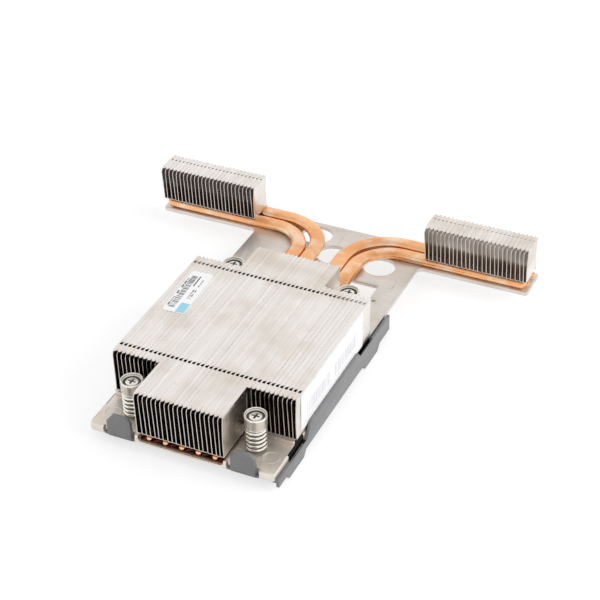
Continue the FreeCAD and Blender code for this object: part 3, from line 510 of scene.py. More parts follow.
def metal_material(name, tint, stain_tint, stretch, fineness, rough, bump=0.12, smudge_size=55.0, deep=None,
                   metallic=1.0, shade_openings=False):
    """Plain metal with soft smudges, specks and scratches: stretch and fineness shape its grain, rough is
    its mean roughness, and deep is the colour painted as shade where a face's painted light is low; it can
    also paint shade near black at the cover's side openings."""
    tree, shader, place = new_material(name)
    grain = placed_group(tree, "Rolled grain", {"Position": place, "Stretch": stretch, "Fineness": fineness})
    stain = placed_group(tree, "Handling marks", {"Position": place, "Smudge size": smudge_size})
    base = mixed(tree, ramp(tree, grain["Streak"], *NOISE_SPAN), scaled_tint(tint, 0.90), tint)
    smudged = mixed(tree, product(tree, stain["Smudge"], 0.5), base, stain_tint)
    marks = maths(tree, "MAXIMUM", product(tree, stain["Speck"], 0.35), product(tree, stain["Scratch"], 0.5))
    marked = mixed(tree, marks, smudged, scaled_tint(stain_tint, 0.5))
    # Painted light and shade: the face attribute mixes the shade colour into faces painted as unlit.
    if deep is not None:
        painted_light_share = add_node(tree, "ShaderNodeAttribute", {}, attribute_name=PAINTED_LIGHT_NAME).outputs["Fac"]
        marked = mixed(tree, painted_light_share, deep, marked)
    # Painted shade, near black, at the cover's side openings.
    if shade_openings:
        marked = opening_shade(tree, place, marked)
    clean_gloss = ramp(tree, grain["Cloud"], 0.35, 0.7, rough - 0.05, rough + 0.06)
    gloss = maths(tree, "ADD", clean_gloss, product(tree, stain["Smudge"], 0.08))
    fill_inputs(tree, shader, {"Base Color": marked, "Roughness": gloss, "Metallic": metallic})
    add_bump(tree, shader, grain["Streak"], bump, 0.02 * MM)


def copper_material(name, bright, dark, rough, patches, draw_lines):
    """Drawn copper: bright salmon where it is clean, brown where it is tarnished, with faint draw lines and
    pale patches that are partly scuffs and partly painted highlight.
    """
    tree, shader, place = new_material(name)
    grain = placed_group(tree, "Rolled grain", {"Position": place, "Stretch": EVEN, "Fineness": 900.0})
    stain = placed_group(tree, "Handling marks", {"Position": place, "Smudge size": 120.0})
    slow = metric_noise(tree, place, patches, 5.0, 0.6)
    base = mixed(tree, ramp(tree, slow, 0.36, 0.62), dark, bright)
    # Pale patches: partly scuffs, partly painted highlight standing for the pipes' bright reflections.
    pale = tinted(bright, (1.0, 1.5, 2.3))
    scuffed_and_highlit = mixed(tree, ramp(tree, grain["Cloud"], 0.48, 0.62, 0.0, 0.6), base, pale)
    smudged = mixed(tree, product(tree, stain["Smudge"], 0.4), scuffed_and_highlit, dark)
    specked = mixed(tree, product(tree, stain["Speck"], 0.4), smudged, scaled_tint(dark, 0.4))
    gloss = ramp(tree, stain["Smudge"], 0.0, 1.0, rough, rough + 0.16)
    fill_inputs(tree, shader, {"Base Color": specked, "Roughness": gloss, "Metallic": 1.0})
    add_bump(tree, shader, grain["Streak"], draw_lines, 0.06 * MM)


def plastic_material(tint):
    """Moulded grey plastic with a fine spark-eroded texture and a few pale scuffs, and shade painted near
    black at the side openings.
    """
    tree, shader, place = new_material("Moulded plastic")
    stain = placed_group(tree, "Handling marks", {"Position": place, "Smudge size": 160.0})
    pebble = metric_noise(tree, place, 4200.0, 2.0)
    pale = scaled_tint(tint, 1.7)
    scuff = mixed(tree, product(tree, stain["Smudge"], 0.22), tint, pale)
    scratched = mixed(tree, product(tree, stain["Scratch"], 0.5), scuff, pale)
    fill_inputs(tree, shader, {
        "Base Color": opening_shade(tree, place, scratched),
        "Roughness": ramp(tree, pebble, *NOISE_SPAN, 0.34, 0.46),
        "Specular IOR Level": 0.95,
    })
    add_bump(tree, shader, pebble, 0.2, 0.04 * MM)


def printed_material(name, tint, other, noise_scale, detail, gloss):
    """Paper or ink: its colour wanders between two tints, and its roughness between the two of gloss."""
    tree, shader, place = new_material(name)
    patch = metric_noise(tree, place, noise_scale, detail)
    fill_inputs(tree, shader, {
        "Base Color": mixed(tree, ramp(tree, patch, *NOISE_SPAN), tint, other),
        "Roughness": ramp(tree, patch, *NOISE_SPAN, *gloss),
    })
    return tree, shader, patch


def label_material(paper):
    """White label film; the printed fields are separate thin pieces."""
    worn = scaled_tint(paper, 0.96)
    tree, shader, fibre = printed_material("Label film", worn, paper, 1800.0, 3.0, (0.32, 0.42))
    add_bump(tree, shader, fibre, 0.06, 0.02 * MM)


def ink_material(name, tint):
    """Printing ink, a little worn in patches."""
    worn = tuple(min(channel * 1.35 + 0.02, 1.0) for channel in tint)
    printed_material(name, tint, worn, 2500.0, 2.0, (0.38, 0.5))


# Folded fins
def fin_rise(settings, height, sharpness, lean):
    """Outer line of one fold from its foot's bend to its top bend's end, as across and up."""
    bend_across = settings.bend + (settings.edge_bend - settings.bend) * sharpness
    bend_up = settings.bend + (settings.edge_bow - settings.bend) * sharpness
    foot_bend = settings.bend
    points = []
    for k in range(3):
        angle = math.pi / 6 * k
        points.append((lean + foot_bend * (1 - math.sin(angle)), foot_bend * (1 - math.cos(angle))))
    plate_top = height - bend_up
    for share in (0.0, 0.2, 0.4, 0.6, 0.8):
        points.append((lean * (1 - share), foot_bend + (plate_top - foot_bend) * share))
    for k in range(7):
        angle = math.pi / 12 * k
        points.append((bend_across * (1 - math.cos(angle)), plate_top + bend_up * math.sin(angle)))
    return points


def fin_stations(settings, span, locks, scale):
    """Places along a fin where its section is drawn, and where its lock slots and their tails start."""
    front, rear = span
    longest_step, least_step = 9 * MM, 1.5 * MM
    stations = []
    for step in (0.0, 0.12, 0.28, 0.5, 0.75, 1.0):
        stations += [front + settings.flare * step, rear - settings.flare * step]
    slots = [place - settings.lock_length * scale / 2 for place in locks]
    tails = [place + settings.lock_length * scale / 2 for place in locks]
    stations += slots + tails + [tail + settings.lock_tail * scale for tail in tails]
    count = max(2, int((rear - front) / longest_step))
    for k in range(1, count):
        place = front + (rear - front) * k / count
        if all(abs(place - other) > least_step for other in stations):
            stations.append(place)
    return sorted(stations), slots, tails


def fold_fin(settings, left, pitch, levels, span, locks, seed, flared=True, scale=1.0):
    """One folded fin as an open sheet: foot, plate and top flange, rolled over at its free ends."""
    bottom, top = levels
    height = top - bottom
    stations, slots, tails = fin_stations(settings, span, locks, scale)
    drift = random.Random(seed)
    front_lean = drift.uniform(-0.2, 0.3) * MM
    rear_lean = drift.uniform(-0.2, 0.3) * MM
    drop = settings.flange_drop * drift.uniform(0.5, 1.6)
    flange_end = pitch + settings.flange_overlap
    flange_step = pitch - 0.12 * MM
    foot_end = pitch - 0.08 * MM
    least_gap = 0.05 * MM
    rows = []
    openings = set()
    for index, y in enumerate(stations):
        reach = min(y - span[0], span[1] - y)
        sharpness = max(0.0, 1 - reach / settings.flare) ** 2 if flared else 0.0
        extra = front_lean if y - span[0] < span[1] - y else rear_lean
        lean = settings.lean + sharpness * (settings.edge_lean + extra)
        section = fin_rise(settings, height, sharpness, lean)
        row = [(foot_end + lean, 0.0)] + section
        start = section[-1][0]
        in_slot = y in slots or y in tails
        lock_edge = max(start + least_gap, pitch - settings.lock_width * scale) if in_slot else flange_step
        fall = drop + (settings.edge_drop - drop) * sharpness
        notch = settings.end_notch * max(0.0, 1 - reach / settings.notch_length) if flared else 0.0
        tip = flange_end - notch
        for across in (min(lock_edge, tip - 2 * least_gap), min(pitch, tip - least_gap), tip):
            share = (across - start) / (flange_end - start)
            row.append((across, height - fall * share))
        rows.append([(left + across, y, bottom + up) for across, up in row])
        if in_slot:
            openings.add((index, len(row) - 3))
    mesh, _ = grid_mesh(rows, holes=openings)
    return mesh


def closing_plate(settings, right, levels, span):
    """The flat plate that closes a row of fins, bowed a little at its free ends and rolled at its top."""
    bottom, top = levels
    height = top - bottom
    roll = settings.bend
    end_bow, end_share = 0.3 * MM, 0.08
    rows = []
    for share_along in (0.0, 0.03, end_share, 0.3, 0.7, 0.92, 0.97, 1.0):
        y = span[0] + (span[1] - span[0]) * share_along
        bow = end_bow * max(0.0, 1 - min(share_along, 1 - share_along) / end_share)
        row = [(right, y, bottom)]
        for share in (0.2, 0.4, 0.6, 0.8, 0.9):
            row.append((right - bow * math.sin(math.pi * share), y, bottom + (height - roll) * share))
        for k in range(4):
            angle = math.pi / 6 * k
            row.append((right - roll * (1 - math.cos(angle)), y, top - roll + roll * math.sin(angle)))
        rows.append(row)
    mesh, _ = grid_mesh(rows)
    return mesh


def thickened(name, sheets, thickness, side):
    """Turn open sheets into solid metal; side is -1 to thicken behind their faces and 1 in front of them."""
    piece = new_piece(name, sheets)
    metal = piece.modifiers.new("Sheet", "SOLIDIFY")
    metal.thickness = thickness
    metal.offset = side
    return baked_copy(piece)


def build_fin_stack(context, node, folds, pitch, locks, plates=(), last_span=None, scale=1.0, inside=0.42):
    """All the folds of one stack, its closing plates, and a shorter last fold where last_span is given;
    inside sets the painted light deep in its gaps.
    """
    settings = context.scene.heatsink_fins
    low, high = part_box(node)
    levels, span = (low.z, high.z), (low.y, high.y)
    sheets = bmesh.new()
    for index in range(folds):
        left = low.x + index * pitch
        seed = node + str(index)
        join_bmesh(sheets, fold_fin(settings, left, pitch, levels, span, locks, seed, scale=scale))
    closed_at = low.x + folds * pitch
    if last_span:
        fin = fold_fin(settings, closed_at, pitch, levels, last_span, locks, node + "last", flared=False)
        join_bmesh(sheets, fin)
    piece = thickened(node + "_folds", sheets, settings.sheet, -1.0)
    if plates:
        sheets = bmesh.new()
        right = closed_at + settings.closing_plate
        for plate_span in plates:
            join_bmesh(sheets, closing_plate(settings, right, levels, plate_span))
        plate = thickened(node + "_plates", sheets, settings.sheet, 1.0)
        work = bmesh.new()
        work.from_mesh(piece.data)
        work.from_mesh(plate.data)
        work.to_mesh(piece.data)
        work.free()
        bpy.data.objects.remove(plate)
    tone_fins(piece.data, (low, high), closed_at if plates else high.x, pitch, inside, node)
    finish_piece(piece, "root", "fin_aluminium", "Fin aluminium", node, sharp=32)


def tone_fins(mesh, box, right, pitch, inside, seed):
    """Paint light and shade on each face by how open it is: tops and outer plates painted pale, seams
    duller, the gaps and feet painted dark as shade between the fins.
    """
    low, high = box
    near_end, near_top, near_side = 1.2 * MM, 1.2 * MM, 0.8 * MM
    # Painted light levels: feet, seams, edges and gaps painted as shade, open tops and outer plates painted
    # as lit.
    sheet_edge, outer_plate, foot, top, seam_end = 0.70, 0.96, 0.04, 0.92, 0.30
    drift = random.Random(seed + "shade")
    shades = [drift.uniform(0.0, 1.0) for _ in range(64)]
    painted_lights = []
    for face in mesh.polygons:
        place, normal = face.center, face.normal
        shade = shades[int(max(0, min(len(shades) - 1, (place.x - low.x) / pitch)))]
        on_left = normal.x < -0.5 and place.x < low.x + near_side
        on_right = normal.x > 0.5 and place.x > right - 0.1 * MM
        if abs(normal.y) > 0.7:
            tone = sheet_edge + 0.08 * shade
        elif on_left or on_right:
            tone = outer_plate
        elif normal.z > 0.5 and place.z < low.z + near_side:
            tone = foot
        elif normal.z > 0.75 and place.z > high.z - near_top:
            tone = top + 0.08 * shade
        elif normal.z > 0.25 and place.z > high.z - near_top:
            at_end = min(place.y - low.y, high.y - place.y) < near_end
            tone = seam_end if at_end else drift.uniform(0.40, 0.72)
        else:
            tone = inside + 0.10 * shade
        painted_lights.append(tone)
    keep_tones(mesh, painted_lights)


# Heat pipes
def pipe_section(width, height, squareness, count=24):
    """Flattened tube section as across and up; squareness is 2 for an oval and more for flatter faces."""
    points = []
    for k in range(count):
        angle = 2 * math.pi * k / count
        across, up = math.cos(angle), math.sin(angle)
        points.append((width / 2 * math.copysign(abs(across) ** (2 / squareness), across),
                       height / 2 * math.copysign(abs(up) ** (2 / squareness), up)))
    return points


def pipe_path(settings, side, lane, low, high, front, rise_start, arm_lane, radius, end):
    """Stations along a bent pipe: point and heading in plan, with how far along the bend it is."""
    ahead = Vector((0, 1, 0))
    path = [(Vector((lane, y, low)), ahead, 0.0) for y in (front, (front + rise_start) / 2, rise_start)]
    run = settings.rise_run
    climb = high - low
    rise_radius = (run * run + climb * climb) / (4 * climb)
    turn = math.asin(run / 2 / rise_radius)
    for start, level, way, shares in ((rise_start, low, 1, [k / 8 for k in range(1, 9)]),
                                      (rise_start + run, high, -1, [1 - k / 8 for k in range(1, 9)])):
        for share in shares:
            angle = turn * share
            point = Vector((lane, start + way * rise_radius * math.sin(angle),
                            level + way * rise_radius * (1 - math.cos(angle))))
            path.append((point, Vector((0, math.cos(angle), math.sin(angle))), 0.0))
    for k in range(25):
        angle = math.pi / 2 * k / 24
        point = Vector((lane + side * radius * (1 - math.cos(angle)),
                        arm_lane - radius + radius * math.sin(angle), high))
        path.append((point, Vector((side * math.sin(angle), math.cos(angle), 0)), math.sin(2 * angle)))
    bend_end = lane + side * radius
    for k in range(1, 9):
        point = Vector((bend_end + (end - bend_end) * k / 8, arm_lane, high))
        path.append((point, Vector((side, 0, 0)), 0.0))
    return path


def add_tips(settings, path, width, height):
    """Stations with their section sizes and squareness, with the taper and the round nib at both ends."""
    stations = []
    for point, heading, bend in path:
        stations.append((point, heading, width * (1 - 0.02 * bend), height, 2.5 - 0.4 * bend))
    for end in (0, -1):
        point, heading, _ = path[end]
        outward = -heading if end == 0 else heading
        tip = []
        for share in (0.2, 0.45, 0.75, 1.0):
            ease = share * share * (3 - 2 * share)
            wide = width + (settings.nib_width - width) * ease
            tall = height + (settings.nib_height - height) * ease
            tip.append((point + outward * settings.taper * share, heading, wide, tall, 2.5 - 0.5 * share))
        nib = point + outward * settings.taper
        for share in (0.2, 0.4, 0.6, 0.78, 0.92, 1.0):
            shrink = math.sqrt(max(1 - share ** 2.6, 0.02))
            tip.append((nib + outward * settings.nib * share, heading,
                        settings.nib_width * shrink, settings.nib_height * shrink, 2.0))
        stations = tip[::-1] + stations if end == 0 else stations + tip
    return stations


def pipe_width(settings):
    """Width of the tube once it is flattened, from the length round it."""
    return settings.height + math.pi / 2 * (settings.round_diameter - settings.height)


def build_pipe(context, node, path):
    """A flattened tube along a path, with slightly wavy walls and its front tip drawn down and forward."""
    settings = context.scene.heatsink_pipes
    ripple_scale, sway_scale, dent_scale = 130.0, 95.0, 160.0
    tip_pull = Vector((0, -0.6, -1.0))
    stations = add_tips(settings, path, pipe_width(settings), settings.height)
    rows = []
    for point, heading, wide, tall, squareness in stations:
        across = Vector((heading.y, -heading.x, 0)).normalized()
        upward = across.cross(heading).normalized()
        rows.append([point + across * x + upward * z for x, z in pipe_section(wide, tall, squareness)])
    mesh = capped_tube(rows)
    low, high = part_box(node)
    middle = (low.z + high.z) / 2
    for vertex in mesh.verts:
        place = vertex.co.copy()
        ripple = noise.noise(place * ripple_scale) * settings.waviness
        sway = noise.noise(place * sway_scale + Vector((5, 0, 0))) * settings.waviness
        vertex.co += Vector((ripple, sway, 0))
        if place.z > middle:
            vertex.co.z -= abs(noise.noise(place * dent_scale)) * settings.waviness
        reach = min(max(1 - (place.y - low.y) / (settings.taper + settings.nib), 0.0), 1.0)
        vertex.co += tip_pull * settings.droop * reach * (2 - reach)
    piece = new_piece(node + "_tube", mesh)
    finish_piece(piece, "root", "copper", "Drawn copper", node, sharp=60)


# Captive screws, springs and clips
def screw_profile(settings, high, cup_radius, groove):
    """Radius and height down the screw, from the middle of the cup's floor to the end of the plain shank."""
    lip = settings.lip
    cup_low = high - settings.cup_height
    skirt_low = cup_low - settings.cup_skirt
    floor = high - settings.cup_depth
    ledge = high - settings.step_depth
    inner = cup_radius - lip
    bore = inner - settings.step
    soft = 0.22 * MM
    band = 1.0 * MM
    relief = cup_radius - 0.12 * MM
    rim = cup_radius - 0.35 * MM
    rim_inside = cup_radius - 0.65 * MM
    chamfer = 0.2 * MM
    shank = settings.shank_radius
    groove_high, groove_low, bottom = groove
    shank_low = bottom + settings.thread_length
    return [
        (0.0, floor),
        (bore - soft, floor),
        (bore, floor + soft),
        (bore, ledge - soft),
        (bore + soft * 0.4, ledge - soft * 0.3),
        (bore + soft, ledge),
        (inner - soft * 0.5, ledge),
        (inner, ledge + soft * 0.5),
        (inner, high - soft * 1.2),
        (inner + lip * 0.2, high - soft * 0.3),
        (inner + lip * 0.5, high),
        (inner + lip * 0.8, high - soft * 0.3),
        (cup_radius, high - soft * 1.2),
        (cup_radius, high - band),
        (relief, high - band - chamfer),
        (relief, skirt_low + 2 * chamfer),
        (rim, skirt_low),
        (rim_inside, skirt_low),
        (rim_inside, cup_low),
        (shank, cup_low),
        (shank, groove_high),
        (settings.groove_radius, groove_high),
        (settings.groove_radius, groove_low),
        (shank, groove_low),
        (shank, shank_low + chamfer),
        (shank - chamfer, shank_low),
        (0.0, shank_low),
    ]


def screw_thread(settings, centre, top, bottom):
    """The threaded end, as rows that follow the thread's helix."""
    rows = []
    segments, rows_per_turn = 40, 8
    low_fade, top_fade = 0.5 * MM, 0.4 * MM
    steps = int((top - bottom) / (settings.thread_pitch / rows_per_turn))
    for i in range(steps + 1):
        height = top + (bottom - top) * i / steps
        row = []
        fade = min(1.0, (height - bottom) / low_fade, (top - height) / top_fade)
        for k in range(segments):
            angle = 2 * math.pi * k / segments
            phase = (height / settings.thread_pitch - k / segments) % 1.0
            ridge = abs(2 * phase - 1)
            reach = settings.thread_radius - settings.thread_depth * (1 - ridge * max(fade, 0.0))
            row.append((centre[0] + reach * math.cos(angle), centre[1] + reach * math.sin(angle), height))
        rows.append(row)
    return capped_tube(rows)


def cross_drive(settings, centre, floor):
    """The raised drive in the cup: a low dome whose cross recess is cut in."""
    half_long = settings.recess_length / 2
    half_short = settings.recess_width / 2
    recess_slope = 0.22 * MM
    recess_depth = 0.9 * settings.drive_rise
    rim = 0.75
    outer = settings.drive_radius
    rings = [(outer, 0.0), (outer, 0.5), (outer - 0.25 * MM, 0.72)]
    rings += [(outer * share, 0.76 + 0.24 * (1 - share * share))
              for share in (0.86, 0.78, 0.70, 0.62, 0.54, 0.46, 0.38, 0.30, 0.22, 0.15, 0.09, 0.04)]
    rows = []
    for radius, rise in rings:
        row = []
        for x, y, height in circle((0.0, 0.0), radius, floor + settings.drive_rise * rise, 64):
            past_arms = [max(abs(a) - half_long, abs(b) - half_short) for a, b in ((x, y), (y, x))]
            cut = min(max(-min(past_arms) / recess_slope, 0.0), 1.0)
            row.append((centre[0] + x, centre[1] + y, height - recess_depth * cut * (rise > rim)))
        rows.append(row)
    mesh, verts = grid_mesh(rows, closed=True)
    mesh.faces.new(verts[-1])
    bmesh.ops.recalc_face_normals(mesh, faces=mesh.faces)
    return mesh


def tone_screw(mesh, settings, centre, high, cup_radius):
    """Keep on each face its painted light: the cup painted bright, the ring round the drive a little darker,
    the recess and the shank painted dark as shade.
    """
    inner = cup_radius - settings.lip
    cup_wall, near = 0.55 * MM, 0.05 * MM
    dome_low = high - settings.cup_depth + 0.7 * settings.drive_rise
    painted_lights = []
    for face in mesh.polygons:
        x, y, z = face.center
        radius = math.hypot(x - centre[0], y - centre[1])
        if radius > cup_radius - cup_wall:
            tone = 1.0
        elif z < high - settings.cup_height + near:
            tone = 0.15
        elif radius < inner - settings.step + near and z < dome_low:
            tone = 0.25
        elif settings.drive_radius <= radius < inner + near and z < high - settings.step_depth * 0.4:
            tone = 0.75
        else:
            tone = 1.0
        painted_lights.append(tone)
    keep_tones(mesh, painted_lights)


def build_screw(context, place):
    """One captive screw: its cup and shank, its thread and its cross drive."""
    settings = context.scene.heatsink_screws
    node = "captive_screw_" + place
    low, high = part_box(node)
    clip_low, clip_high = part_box("retaining_clip_" + place)
    centre = axis_of(node)
    cup_radius = (high.x - low.x) / 2
    play = 0.05 * MM
    groove = (clip_high.z + play, clip_low.z - play, low.z)
    whole = lathe_mesh(screw_profile(settings, high.z, cup_radius, groove), centre)
    join_bmesh(whole, screw_thread(settings, centre, low.z + settings.thread_length, low.z))
    join_bmesh(whole, cross_drive(settings, centre, high.z - settings.cup_depth))
    piece = new_piece(node + "_turned", whole)
    tone_screw(piece.data, settings, centre, high.z, cup_radius)
    finish_piece(piece, "screw_" + place, "screw_steel", "Screw nickel", node, sharp=40)


def build_spring(context, place):
    """A coil with closed ends."""
    settings = context.scene.heatsink_screws
    node = "screw_spring_" + place
    low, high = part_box(node)
    x, y = axis_of(node)
    wire = settings.spring_wire / 2
    radius = (high.x - low.x) / 2 - wire
    tall = high.z - low.z
    turns = settings.spring_turns
    closed_turns = settings.closed_turns
    closed_pitch = settings.spring_wire * 1.02
    free = tall - 2 * wire - 2 * closed_turns * closed_pitch
    first_angle = 0.6
    section = circle((0.0, 0.0), wire, 0.0, 12)
    rows = []
    steps = int(turns * 40)
    for i in range(steps + 1):
        turn = turns * (i / steps)
        if turn < closed_turns:
            up = turn * closed_pitch
        elif turn > turns - closed_turns:
            up = tall - 2 * wire - (turns - turn) * closed_pitch
        else:
            up = closed_turns * closed_pitch + free * (turn - closed_turns) / (turns - 2 * closed_turns)
        angle = 2 * math.pi * turn + first_angle
        outward = Vector((math.cos(angle), math.sin(angle), 0))
        middle = Vector((x, y, low.z + wire + up)) + outward * radius
        rows.append([middle + outward * a + Vector((0, 0, b)) for a, b, _ in section])
    piece = new_piece(node + "_coil", capped_tube(rows))
    finish_piece(piece, "root", "spring_steel", "Spring nickel", node, sharp=60)
    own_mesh(piece)


# Labels
def printed_fields(name, corner, along, across, outward, marks, material):
    """Thin raised fields on a label: each mark gives start and end along, and start and end across."""
    height = bpy.context.scene.heatsink_labels.ink_height
    mesh = bmesh.new()
    for start, end, near, far in marks:
        spots = ((start, near), (end, near), (end, far), (start, far))
        mesh.faces.new([mesh.verts.new(corner + along * a + across * c) for a, c in spots])
    top = bmesh.ops.extrude_face_region(mesh, geom=mesh.faces[:])
    moved = [item for item in top["geom"] if isinstance(item, bmesh.types.BMVert)]
    bmesh.ops.translate(mesh, verts=moved, vec=outward * height)
    bmesh.ops.recalc_face_normals(mesh, faces=mesh.faces)
    piece = new_piece(name, mesh)
    piece.data.materials.append(bpy.data.materials[material])
    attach(piece, "root")


def stripes(seed, start, end, thin, thick):
    """Uneven bars and gaps between two places, as pairs of start and end."""
    drift = random.Random(seed)
    bars = []
    place = start
    while place < end:
        bar = drift.choice((thin, thin, thick))
        bars.append((place, min(place + bar, end)))
        place += bar + drift.choice((thin, thin, thick))
    return bars


def striped_rows(rows):
    """Marks for rows of bars: each row gives its seed, and in millimetres its start and end along the label,
    its thin and thick bars, and its start and end across the label."""
    marks = []
    for seed, *sizes in rows:
        start, end, thin, thick, near, far = [size * MM for size in sizes]
        marks += [(a, b, near, far) for a, b in stripes(seed, start, end, thin, thick)]
    return marks


def print_top_label(context):
    """Bars along one side, two rows of greeked lines and a plain colour field at the front end."""
    settings = context.scene.heatsink_labels
    centre = Vector((*axis_of("top_label"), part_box("top_label")[1].z))
    along = Vector((-math.sin(settings.turn), math.cos(settings.turn), 0))
    across = Vector((-math.cos(settings.turn), -math.sin(settings.turn), 0))
    corner = centre - along * settings.length / 2 - across * settings.width / 2
    bars = striped_rows((
        ("code", 3.0, 28.0, 0.28, 0.62, 6.0, 8.7),
        ("digits", 4.0, 26.0, 0.55, 2.4, 9.0, 9.7),
        ("line0", 11.2, 18.4, 0.45, 1.3, 2.1, 2.72),
        ("line1", 11.2, 18.4, 0.45, 1.3, 3.1, 3.72),
        ("note", 20.6, 26.2, 0.35, 0.8, 2.3, 2.9),
    ))
    rule = (20.5 * MM, 28.4 * MM, 4.6 * MM, 5.2 * MM)
    field = (0.4 * MM, 7.6 * MM, 0.25 * MM, 4.4 * MM)
    outward = Vector((0, 0, 1))
    printed_fields("top_label_bars", corner, along, across, outward, bars + [rule], "Bar ink")
    printed_fields("top_label_field", corner, along, across, outward, [field], "Colour field ink")


def print_side_label():
    """Two groups of faint bars that stand upright on the side label."""
    low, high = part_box("side_label")
    corner = Vector((high.x, low.y, low.z))
    bars = striped_rows((
        ("rear", 6.0, 29.0, 0.5, 1.1, 5.0, 11.0),
        ("front", 34.0, 58.0, 0.5, 1.1, 5.0, 11.0),
    ))
    along, across, outward = Vector((0, 1, 0)), Vector((0, 0, 1)), Vector((1, 0, 0))
    printed_fields("side_label_bars", corner, along, across, outward, bars, "Faint bar ink")


# Floor, light and camera
class HEATSINK_OT_stage(bpy.types.Operator):
    """Lay the floor, set the lights and place the camera"""
    bl_idname = "heatsink.stage"
    bl_label = "Stage"

    def execute(self, context):
        settings = context.scene.heatsink_stage
        make_camera(context, settings)
        make_floor(settings)
        make_lights(context, settings)
        context.scene.view_settings.view_transform = "Standard"
        return {"FINISHED"}


def make_camera(context, settings):
    """The photo's camera, from its fitted turn, tilt and distance."""
    az, el, roll = settings.azimuth, settings.elevation, settings.roll
    back = Vector((math.sin(az) * math.cos(el), -math.cos(az) * math.cos(el), math.sin(el)))
    right = Vector((math.cos(az), math.sin(az), 0))
    up = back.cross(right)
    level = right * math.cos(roll) + up * math.sin(roll)
    upright = up * math.cos(roll) - right * math.sin(roll)
    data = bpy.data.cameras.new("Camera")
    data.lens = settings.lens
    data.sensor_width = 36.0
    data.clip_start = 0.01
    camera = new_collection_object("Camera", data)
    place = Matrix((level, upright, back)).transposed().to_4x4()
    target = Vector((settings.target_across, settings.target_along, settings.target_height))
    place.translation = target + back * settings.distance
    camera.matrix_world = place
    context.scene.camera = camera


def make_floor(settings):
    """A wide pale floor that camera and mirror rays see nearly white, with the object's shadow on it, and a
    painted shadow under the cover where its glow is left out.
    """
    tree, shader, place = new_material("Floor")
    tint = tuple(settings.floor)
    parts = axis_parts(tree, place)
    low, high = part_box("protective_cover")
    # Painted shadow: the glow is left out under the cover, so the floor seen through the openings reads
    # dark.
    shadow_under_cover = 1.0
    for axis, start, end, inset in (("X", low.x, high.x, settings.inset_across),
                                    ("Y", low.y, high.y, settings.inset_along)):
        offset = maths(tree, "ABSOLUTE", maths(tree, "SUBTRACT", parts[axis], (start + end) / 2))
        within = maths(tree, "LESS_THAN", offset, (end - start) / 2 - inset)
        shadow_under_cover = product(tree, within, shadow_under_cover)
    open_glow = product(tree, maths(tree, "SUBTRACT", 1.0, shadow_under_cover), settings.floor_glow)
    rays = tree.nodes.new("ShaderNodeLightPath").outputs
    seen = maths(tree, "MAXIMUM", rays["Is Camera Ray"], rays["Is Glossy Ray"])
    fill_inputs(tree, shader, {
        "Base Color": mixed(tree, metric_noise(tree, place, 3.0), scaled_tint(tint, 0.985), tint),
        "Roughness": 0.9,
        "Specular IOR Level": 0.1,
        "Emission Color": WHITE,
        "Emission Strength": product(tree, seen, open_glow),
    })
    mesh = bpy.data.meshes.new("Floor")
    half = 4.0
    corners = [(-half, -half, 0), (half, -half, 0), (half, half, 0), (-half, half, 0)]
    mesh.from_pydata(corners, [], [(0, 1, 2, 3)])
    mesh.materials.append(bpy.data.materials["Floor"])
    new_collection_object("Floor", mesh)


def make_lights(context, settings):
    """An even sky that fades overhead in mirrors, and two lamps that mirrors don't see."""
    world = bpy.data.worlds.new("Studio")
    context.scene.world = world
    world.use_nodes = True
    tree = world.node_tree
    rays = tree.nodes.new("ShaderNodeLightPath").outputs
    direction = tree.nodes.new("ShaderNodeTexCoord").outputs["Generated"]
    overhead = ramp(tree, axis_parts(tree, direction)["Z"], 0.62, 0.95, 1.0, settings.zenith)
    mirror = product(tree, overhead, rays["Is Glossy Ray"])
    seen = maths(tree, "MAXIMUM", rays["Is Camera Ray"], rays["Is Transmission Ray"])
    diffuse = product(tree, rays["Is Diffuse Ray"], settings.sky)
    strength = maths(tree, "MAXIMUM", maths(tree, "MAXIMUM", seen, mirror), diffuse)
    fill_inputs(tree, tree.nodes["Background"], {"Color": WHITE, "Strength": strength})
    aim = Vector((0.0, 0.03, 0.0))
    for name, place, size, power in (("Key", (0.80, 0.10, 0.45), 0.8, settings.key),
                                     ("Fill", (-0.5, -0.7, 0.6), 0.9, settings.fill)):
        data = bpy.data.lights.new(name, "AREA")
        data.shape = "SQUARE"
        data.size = size
        data.energy = power
        lamp = new_collection_object(name, data)
        lamp.location = place
        lamp.rotation_mode = "QUATERNION"
        lamp.rotation_quaternion = (aim - Vector(place)).to_track_quat("-Z", "Y")
        lamp.visible_glossy = False


